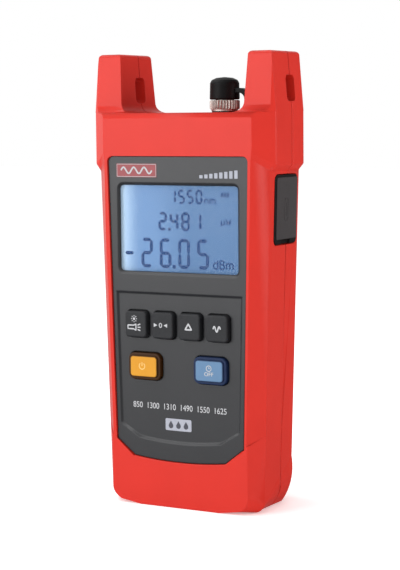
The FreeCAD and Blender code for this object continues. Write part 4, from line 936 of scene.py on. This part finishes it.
@dataclass
class Display:
    """The window over the lit display, with three rows of seven-bar figures."""

    glass_y: float = -17.9
    thick: float = 0.05
    window_round: float = 0.1
    bars: str = "0abcdef 1bc 2abged 3abgcd 4fgbc 5afgcd 6afgedc 7abc 8abcdefg 9abcdfg"
    bar_gap: float = 0.06
    rows: tuple[Row, ...] = (Row("1550", -5.0, 126.7, 4.15, 3.2, 6.0, 0.95),
                             Row("2.481", -10.4, 115.6, 5.45, 4.2, 7.7, 1.2),
                             Row("26.05", -18.8, 100.0, 8.9, 5.6, 12.4, 1.45))
    dot_gap: float = 0.9
    dot_side: float = 1.1
    dot_corner: float = 0.25
    minus: tuple[Point, Point] = ((-26.7, 105.9), (-22.5, 105.9))
    units: tuple[tuple[str, Point, float], ...] = (("nm", (11.7, 126.9), 1.96),
                                                   ("µW", (19.3, 118.6), 1.8),
                                                   ("dBm", (15.6, 100.5), 2.4))
    letter_wide: float = 0.8
    broad_letter_wide: float = 1.25
    letter_gap: float = 0.45
    letter_line: float = 0.28
    cells_at: Point = (19.2, 129.7)
    cell_count: int = 3
    cell_pitch: float = 1.4
    cell: tuple[Point, ...] = ((0.0, 0.0), (0.9, 0.0), (1.2, 1.9), (0.3, 1.9))

    @staticmethod
    def bar(start: Point, end: Point, line: float) -> list[Point]:
        """The outline of one bar, pointed at both ends.

        Args:
            start: One point.
            end: The other point.
            line: The bar's width.

        Returns:
            The outline's corners.
        """
        run = Vector(end) - Vector(start)
        step = run.normalized() * line / 2
        side = Vector((-step.y, step.x))
        first, last = Vector(start), Vector(end)
        return [tuple(p) for p in (first, first + step - side, last - step - side, last,
                                   last - step + side, first + step + side)]

    def figure(self, marks: Marks, row: Row, sign: str, left: float) -> None:
        """Add one figure of a row, bar by bar, with a small gap where bars meet.

        Args:
            marks: The marks that it joins.
            row: The row, which gives its size.
            sign: The figure.
            left: Where it starts.
        """
        lit = next(code[1:] for code in self.bars.split() if code[0] == sign)
        x0, x1 = left + row.line / 2, left + row.wide - row.line / 2
        z0, z2 = row.low + row.line / 2, row.low + row.tall - row.line / 2
        z1 = (z0 + z2) / 2
        ends = {"a": ((x0, z2), (x1, z2)), "b": ((x1, z1), (x1, z2)), "c": ((x1, z0), (x1, z1)),
                "d": ((x0, z0), (x1, z0)), "e": ((x0, z0), (x0, z1)), "f": ((x0, z1), (x0, z2)),
                "g": ((x0, z1), (x1, z1))}
        for name in lit:
            start, end = (Vector(p) for p in ends[name])
            inwards = (end - start).normalized() * self.bar_gap
            marks.shape(self.bar(start + inwards, end - inwards, row.line))

    def unit(self, marks: Marks, text: str, low_left: Point, size: float) -> None:
        """Add a unit, letter by letter.

        Args:
            marks: The marks that it joins.
            text: Its letters.
            low_left: Where the first letter stands.
            size: The height of a small letter, which the widths and the line follow.
        """
        left, low = low_left
        for letter in text:
            wide = size * (self.broad_letter_wide if letter in "mW" else self.letter_wide)
            paths = [placed(path, (left, low), wide, size) for path in UNIT_LETTERS[letter]]
            marks.strokes(paths, self.letter_line * size)
            left += wide + self.letter_gap * size

    def build(self) -> None:
        """Dress the window and the display, and draw what it shows."""
        moulded("display_window", CASE_BODY, WINDOW_CLEAR,
                EdgeRound(self.window_round, Chain.WHOLE))
        dress_node("lcd_module", LCD_BLUE)
        dress_node("backlight", OPAL)
        shown = Marks(facing_front(self.glass_y), self.thick)
        for row in self.rows:
            place = 0
            for sign in row.figures:
                if sign == ".":
                    last = row.left + (place - 1) * row.pitch + row.wide
                    side = row.line * self.dot_side
                    dot = (last + row.line * self.dot_gap, row.low + row.line / 2)
                    shown.shape(rounded_box(dot, side, side, row.line * self.dot_corner))
                    continue
                self.figure(shown, row, sign, row.left + place * row.pitch)
                place += 1
        shown.shape(self.bar(*self.minus, self.rows[-1].line))
        for text, corner, size in self.units:
            self.unit(shown, text, corner, size)
        for n in range(self.cell_count):
            shown.shape(placed(self.cell, (self.cells_at[0] + self.cell_pitch * n, self.cells_at[1])))
        shown.piece("display_figures", SEGMENT_BLUE, CASE_BODY)


@dataclass
class Keypad:
    """Six silicone keys with printed signs: four dark ones in a row and two coloured ones below.

    Each sign is drawn about its own middle, and its lines have one width.
    """

    face_y: float = -22.0
    panel_y: float = -19.4
    ink: float = 0.05
    lamp_mid: Point = (-19.35, 76.4)
    lamp_line: float = 0.53
    sun_at: Point = (-1.0, 2.3)
    sun_radius: float = 0.55
    sun_rays: tuple[float, float] = (0.95, 1.45)
    sun_line: float = 0.34
    torch_drop: float = 1.2
    torch: tuple[Point, ...] = ((-4.0, -0.75), (-1.3, -0.75), (-0.1, -1.3), (-0.1, 1.3), (-1.3, 0.75),
                                (-4.0, 0.75), (-4.0, -0.75))
    torch_rays: tuple[tuple[Point, Point], ...] = (((0.7, 0.9), (2.0, 1.4)), ((0.7, 0.0), (2.1, 0.0)),
                                                   ((0.7, -0.9), (2.0, -1.4)))
    zero_mid: Point = (-7.55, 76.55)
    nought: Point = (1.5, 2.0)
    pointer: tuple[Point, ...] = ((3.2, 0.8), (3.2, -0.8), (1.5, 0.0))
    difference_mid: Point = (5.7, 76.5)
    triangle: tuple[Point, ...] = ((-1.5, -1.1), (1.5, -1.1), (0.0, 1.3), (-1.5, -1.1))
    triangle_line: float = 0.65
    wave_mid: Point = (19.0, 76.3)
    wave_wide: float = 3.4
    wave_rise: float = 1.1
    wave_turns: float = 1.5
    wave_steps: int = 24
    wave_line: float = 0.6
    power_mid: Point = (-16.75, 59.0)
    power_radius: float = 1.35
    power_bar: float = 1.6
    power_line: float = 0.42
    timer_mid: Point = (15.1, 58.8)
    clock_rise: float = 1.15
    clock_radius: float = 1.15
    clock_hands: tuple[Point, ...] = ((0.0, 0.7), (0.0, 0.0), (0.6, 0.0))
    clock_line: float = 0.32
    off_drop: float = 2.0
    off: Point = (4.2, 1.6)

    def key(self, node: str, slot: str, finish: Finish) -> None:
        """Replace a key by a smooth copy whose face leaves room for the ink.

        Args:
            node: The key's node, named as its body is.
            slot: Its material slot; not used.
            finish: Its finish.
        """
        mesh = joined_copy(node)
        front = [vert for vert in mesh.verts if vert.co.y < self.panel_y * MM]
        tall = self.panel_y - self.face_y
        base = Matrix.Translation((0, -self.panel_y * MM, 0))
        bmesh.ops.scale(mesh, vec=(1, (tall - self.ink) / tall, 1), space=base, verts=front)
        piece = finished(mesh, node + "_moulded", finish)
        piece.modifiers.new("even_faces", "WEIGHTED_NORMAL").keep_sharp = True
        stand_for(piece, node, node)

    def marks(self) -> Marks:
        """Start the marks of one key."""
        return Marks(facing_front(self.face_y + self.ink), self.ink)

    def lamp_sign(self) -> None:
        """A small sun over a torch with three rays."""
        x, z = self.lamp_mid
        sign = self.marks()
        sun = (x + self.sun_at[0], z + self.sun_at[1])
        sign.shape(arc(sun, self.sun_radius, 0, 345, 15))
        starts, ends = (arc(sun, radius, 0, 315, 7) for radius in self.sun_rays)
        sign.strokes(list(zip(starts, ends)), self.sun_line)
        low = (x, z - self.torch_drop)
        sign.strokes([placed(path, low) for path in (self.torch, *self.torch_rays)], self.lamp_line)
        sign.piece("lamp_sign", INK_WHITE, "key_light")

    def zero_sign(self) -> None:
        """A nought between two points that close on it."""
        x, z = self.zero_mid
        wide, tall = self.nought
        sign = self.marks()
        sign.words("0", (x - wide / 2, z - tall / 2), wide, tall)
        for side in (-1, 1):
            sign.shape(placed(self.pointer, self.zero_mid, side))
        sign.piece("zero_sign", INK_WHITE, "key_zero")

    def difference_sign(self) -> None:
        """An open triangle, the sign of a difference."""
        sign = self.marks()
        sign.strokes([placed(self.triangle, self.difference_mid)], self.triangle_line)
        sign.piece("difference_sign", INK_WHITE, "key_relative")

    def wave_sign(self) -> None:
        """One and a half turns of a wave."""
        sign = self.marks()
        path = wave(self.wave_mid, self.wave_wide, self.wave_rise, self.wave_turns, self.wave_steps)
        sign.strokes([path], self.wave_line)
        sign.piece("wave_sign", INK_WHITE, "key_wavelength")

    def power_sign(self) -> None:
        """The sign for on and standby: a broken ring with a bar in its gap."""
        x, z = self.power_mid
        sign = self.marks()
        ring = arc(self.power_mid, self.power_radius, 125, 415)
        sign.strokes([ring, [self.power_mid, (x, z + self.power_bar)]], self.power_line)
        sign.piece("power_sign", INK_CREAM, "key_power")

    def timer_sign(self) -> None:
        """A clock over the word for off."""
        x, z = self.timer_mid
        wide, tall = self.off
        sign = self.marks()
        clock = (x, z + self.clock_rise)
        ring = arc(clock, self.clock_radius, 90, 450)
        sign.strokes([ring, placed(self.clock_hands, clock)], self.clock_line)
        sign.words("OFF", (x - wide / 2, z - self.off_drop), wide, tall)
        sign.piece("timer_sign", INK_WHITE, "key_timer")

    def build(self) -> None:
        """Dress every key and print its sign."""
        for node in ("key_light", "key_zero", "key_relative", "key_wavelength"):
            self.key(node, "key_dark", KEY_DARK)
        self.key("key_power", "key_orange", KEY_ORANGE)
        self.key("key_timer", "key_blue", KEY_BLUE)
        for sign in (self.lamp_sign, self.zero_sign, self.difference_sign, self.wave_sign, self.power_sign,
                     self.timer_sign):
            sign()
        dress_node("keypad_mat", RUBBER_BLACK)
        dress_node("switch_domes", SCREW_STEEL)


# The port on the deck


@dataclass
class OpticalPort:
    """The threaded adaptor with its knurled ring, the rubber cap and the cap's strap."""

    axis_x: float = 11.6
    barrel: float = 3.95
    thread_deep: float = 0.12
    thread_pitch: float = 0.75
    thread_low: float = 169.2
    thread_high: float = 175.7
    thread_sunk: float = 0.05
    thread_foot: float = 0.01
    crest: tuple[float, float] = (0.4, 0.6)
    thread_steps: int = 64
    thread_sharp_deg: float = 40.0
    cap_round: float = 0.2
    cap_least_deg: float = 30.0
    strap_cuts: int = 14
    strap_round: float = 0.25
    strap_end: float = 0.3
    strap_into_cap: float = 1.0
    plug_top: tuple[float, float, float] = (23.2, 0.0, 164.4)
    cap_end: tuple[float, float, float] = (19.0, 0.0, 173.0)

    def thread(self) -> None:
        """Turn the thread's ridges round the barrel."""
        mesh = bmesh.new()
        turns = int((self.thread_high - self.thread_low) / self.thread_pitch)
        root = self.barrel - self.thread_sunk
        line = [(root, self.thread_low)]
        for n in range(turns):
            foot = self.thread_low + n * self.thread_pitch
            line.append((self.barrel + self.thread_foot, foot))
            line += [(self.barrel + self.thread_deep, foot + share * self.thread_pitch)
                     for share in self.crest]
        line.append((root, self.thread_low + turns * self.thread_pitch))
        points = [mesh.verts.new(((self.axis_x + r) * MM, 0, z * MM)) for r, z in line]
        edges = [mesh.edges.new(pair) for pair in zip(points, points[1:])]
        edges.append(mesh.edges.new((points[-1], points[0])))
        bmesh.ops.spin(mesh, geom=points + edges, cent=(self.axis_x * MM, 0, 0), axis=(0, 0, 1),
                       angle=2 * math.pi, steps=self.thread_steps, use_merge=True)
        bmesh.ops.remove_doubles(mesh, verts=mesh.verts, dist=SAME_PLACE * MM)
        bmesh.ops.recalc_face_normals(mesh, faces=mesh.faces)
        piece = finished(mesh, "barrel_thread", NICKEL, self.thread_sharp_deg)
        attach(piece, CASE_BODY)
        log.info("barrel_thread on %s", CASE_BODY)

    def strap(self) -> None:
        """The cap's strap, cut into short lengths, with its end pushed into the cap."""
        mesh = joined_copy("cap_tether")
        EdgeRound(self.strap_round, Chain.WHOLE).apply(mesh)
        low, high = (Vector(corner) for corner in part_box("cap_tether"))
        end_face = [vert for vert in mesh.verts if vert.co.x < low.x + self.strap_end * MM]
        bmesh.ops.translate(mesh, verts=end_face, vec=(-self.strap_into_cap * MM, 0, 0))
        for n in range(1, self.strap_cuts):
            share = n / self.strap_cuts
            for normal in (Vector((1, 0, 0)), Vector((0, 0, 1))):
                bmesh.ops.bisect_plane(mesh, geom=mesh.verts[:] + mesh.edges[:] + mesh.faces[:],
                                       plane_co=low.lerp(high, share), plane_no=normal,
                                       dist=SAME_PLACE * MM)
        piece = finished(mesh, "cap_strap", RUBBER_BLACK)
        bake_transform(piece)
        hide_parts("cap_tether")
        log.info("cap_strap bends between %s and dust_cap", CASE_BODY)

    def build(self) -> None:
        """Dress the port from the deck up."""
        moulded("port_ring", CASE_BODY, NICKEL)
        moulded("port_body", CASE_BODY, NICKEL)
        self.thread()
        moulded("dust_cap", "dust_cap", RUBBER_BLACK,
                EdgeRound(self.cap_round, Chain.WHOLE, least_deg=self.cap_least_deg))
        self.strap()
        inner = {"port_seal": RUBBER_BLACK, "port_nut": SCREW_STEEL, "ferrule_sleeve": CERAMIC,
                 "photodiode": NICKEL, "detector_holder": NYLON_BLACK}
        for node, finish in inner.items():
            dress_node(node, finish)


@dataclass
class SideDoor:
    """The soft door over the socket, with a raised field and a sign on its face."""

    edge_round: float = 0.3
    foot_band: float = 3.0
    rim_front: float = 1.4
    rim_rear: float = 0.5
    rim_top: float = 1.1
    rim_foot: float = 2.1
    field_corner: float = 0.7
    field_thick: float = 0.12
    sign_wide: float = 3.0
    sign_tall: float = 9.0
    sign_line: float = 0.4
    sign_thick: float = 0.3
    sign_corner: float = 0.9
    sign_bar: float = 5.2
    socket_round: float = 0.1

    def face(self) -> Matrix:
        """The plane of the door's leaning outer face: across is +Y, up is along the face, out is +X.

        Returns:
            A matrix from across, up and out to the frame.
        """
        low, high = (Vector(corner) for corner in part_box("port_door"))
        corners = [vert.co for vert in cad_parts["port_door"].data.vertices]
        foot_x = max(co.x for co in corners if co.z < low.z + self.foot_band * MM)
        up = Vector((high.x - foot_x, 0, high.z - low.z)).normalized()
        middle = Vector(((high.x + foot_x) / 2, (low.y + high.y) / 2, (low.z + high.z) / 2))
        across = Vector((0, 1, 0))
        turn = Matrix((across, up, across.cross(up))).transposed().to_4x4()
        return Matrix.Translation(middle) @ turn

    def build(self) -> None:
        """Dress the door, its sign and what stands behind it."""
        # The door's own moulding is painted nearly black: painted shade round the raised grey field
        moulded("port_door", "port_door", DOOR_RIM_SHADE,
                EdgeRound(self.edge_round, Chain.WHOLE))
        low, high = (Vector(corner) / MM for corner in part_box("port_door"))
        middle = ((self.rim_front - self.rim_rear) / 2, (self.rim_foot - self.rim_top) / 2)
        field = Marks(self.face(), self.field_thick)
        field.shape(rounded_box(middle, high.y - low.y - self.rim_front - self.rim_rear,
                                high.z - low.z - self.rim_foot - self.rim_top, self.field_corner))
        field.piece("door_field", RUBBER_GREY, "port_door")
        sign = Marks(self.face(), self.sign_thick)
        outline = rounded_box((0, 0), self.sign_wide, self.sign_tall, self.sign_corner)
        bar = [(0, -self.sign_bar / 2), (0, self.sign_bar / 2)]
        sign.strokes([outline + outline[:1], bar], self.sign_line)
        sign.piece("door_sign", RUBBER_GREY, "port_door")
        moulded("usb_socket", CASE_BODY, NICKEL, EdgeRound(self.socket_round, Chain.WHOLE))
        dress_node("side_board", BOARD_GREEN)
        dress_node("board_link", NYLON_BLACK)


@dataclass
class Inside:
    """What the case hides: the torch lamp that shows in the deck, the boards and the cells."""

    lamp_round: float = 0.1

    def build(self) -> None:
        """Dress the inner nodes."""
        moulded("torch_led", CASE_BODY, OPAL, EdgeRound(self.lamp_round, Chain.WHOLE))
        dress_node("main_board", BOARD_GREEN)
        dress_node("board_screws", SCREW_STEEL)
        for n in (1, 2, 3):
            dress_node(f"battery_cell_{n}", CELL_JACKET)
        for node in ("contact_leaves", "contact_plates"):
            dress_node(node, NICKEL)


# The studio


@dataclass
class Studio:
    """A pale floor, soft lights and the camera at the photograph's view."""

    yaw_deg: float = 29.5
    pitch_deg: float = 5.68
    roll_deg: float = -0.539
    distance: float = 717.25
    target: tuple[float, float, float] = (-1.007, 0.0, 91.6)
    focal_px: float = 1700.0
    image_tall_px: float = 570.0
    sensor: float = 36.0
    sees_from: float = 10.0
    sees_to: float = 50000.0
    floor_wide: float = 8000.0
    dark_corner: tuple[float, float, float] = (0.9, 0.44, 0.0)
    dark_from: float = 0.0
    dark_to: float = 0.85
    dark_wall: float = 0.12
    ground_from: float = -0.4
    ground: float = 0.15
    box_place: tuple[float, float, float] = (-500.0, -880.0, 330.0)
    box_wide: float = 600.0
    box_watts: float = 4.5
    fill_place: tuple[float, float, float] = (1000.0, 200.0, 300.0)
    fill_watts: float = 5.4
    top_place: tuple[float, float, float] = (-420.0, -120.0, 900.0)
    top_watts: float = 3.0

    def camera(self) -> None:
        """Place the camera: the long side of the image sets the sensor's width."""
        yaw, pitch, roll = (math.radians(a) for a in (self.yaw_deg, self.pitch_deg, self.roll_deg))
        back = Vector((math.sin(yaw) * math.cos(pitch), -math.cos(yaw) * math.cos(pitch), math.sin(pitch)))
        right = Vector((math.cos(yaw), math.sin(yaw), 0))
        up = back.cross(right)
        leaned_right = right * math.cos(roll) + up * math.sin(roll)
        leaned_up = up * math.cos(roll) - right * math.sin(roll)
        lens = bpy.data.cameras.new("camera")
        lens.lens = self.focal_px * self.sensor / self.image_tall_px
        lens.sensor_width = self.sensor
        lens.clip_start = self.sees_from * MM
        lens.clip_end = self.sees_to * MM
        eye = bpy.data.objects.new("camera", lens)
        bpy.context.scene.collection.objects.link(eye)
        turn = Matrix((leaned_right, leaned_up, back)).transposed().to_4x4()
        place = (Vector(self.target) + back * self.distance) * MM
        eye.matrix_world = Matrix.Translation(place) @ turn
        bpy.context.scene.camera = eye

    def floor(self) -> None:
        """A plain pale floor under the part."""
        sheet = bmesh.new()
        bmesh.ops.create_grid(sheet, x_segments=1, y_segments=1, size=self.floor_wide / 2 * MM)
        white = Finish("floor_white_paper", "FFFFFF", 0.95, 4.0, 0.002, mottle=0.004, mottle_mm=400.0,
                       specular=0.0, glow=0.3)
        paper = finished(sheet, "floor", white)
        paper.visible_glossy = False

    def lamp(self, name: str, place: Sequence[float], wide: float, watts: float) -> None:
        """Add a square soft box that faces the middle of the part.

        Args:
            name: The light's name.
            place: Where it stands.
            wide: Its side.
            watts: Its power.
        """
        light = bpy.data.lights.new(name, "AREA")
        light.size = wide * MM
        light.energy = watts
        box = bpy.data.objects.new(name, light)
        bpy.context.scene.collection.objects.link(box)
        box.location = Vector(place) * MM
        box.rotation_euler = (Vector(self.target) - Vector(place)).to_track_quat("-Z", "Y").to_euler()

    def lights(self) -> None:
        """White walls, weaker behind on the right and below, and soft boxes left, right and above."""
        world = bpy.data.worlds.new("studio")
        world.use_nodes = True
        tree = world.node_tree
        sky = tree.nodes["Background"]
        sky.inputs["Color"].default_value = linear("FFFFFF")
        towards = add(tree, "ShaderNodeTexCoord").outputs["Generated"]
        corner = add(tree, "ShaderNodeVectorMath", {0: towards, 1: self.dark_corner},
                     operation="DOT_PRODUCT")
        wall = add(tree, "ShaderNodeMapRange", {"Value": corner.outputs["Value"],
                                                "From Min": self.dark_from, "From Max": self.dark_to,
                                                "To Min": 1.0, "To Max": self.dark_wall},
                   interpolation_type="SMOOTHSTEP")
        seen = add(tree, "ShaderNodeLightPath").outputs["Is Camera Ray"]
        rise = add(tree, "ShaderNodeSeparateXYZ", {"Vector": towards}).outputs["Z"]
        ground = add(tree, "ShaderNodeMapRange", {"Value": rise, "From Min": self.ground_from,
                                                  "From Max": 0.0, "To Min": self.ground, "To Max": 1.0})
        room = add(tree, "ShaderNodeMath", {0: wall.outputs["Result"], 1: ground.outputs["Result"]},
                   operation="MULTIPLY")
        strength = add(tree, "ShaderNodeMath", {0: room.outputs["Value"], 1: seen}, operation="MAXIMUM")
        tree.links.new(strength.outputs["Value"], sky.inputs["Strength"])
        bpy.context.scene.world = world
        self.lamp("left_soft_box", self.box_place, self.box_wide, self.box_watts)
        self.lamp("right_soft_box", self.fill_place, self.box_wide, self.fill_watts)
        self.lamp("top_soft_box", self.top_place, self.box_wide, self.top_watts)
        bpy.context.scene.view_settings.view_transform = "Standard"

    def build(self) -> None:
        """Set up floor, lights and camera."""
        self.floor()
        self.lights()
        self.camera()


def main() -> None:
    """Build the studio and every sub-assembly in order."""
    logging.basicConfig(level=logging.INFO, format="%(name)s: %(message)s")
    Studio().build()
    for assembly in (CaseShells, Screws, FrontPanel, Display, Keypad, OpticalPort, SideDoor, Inside):
        assembly().build()


if __name__ == "__main__":
    main()
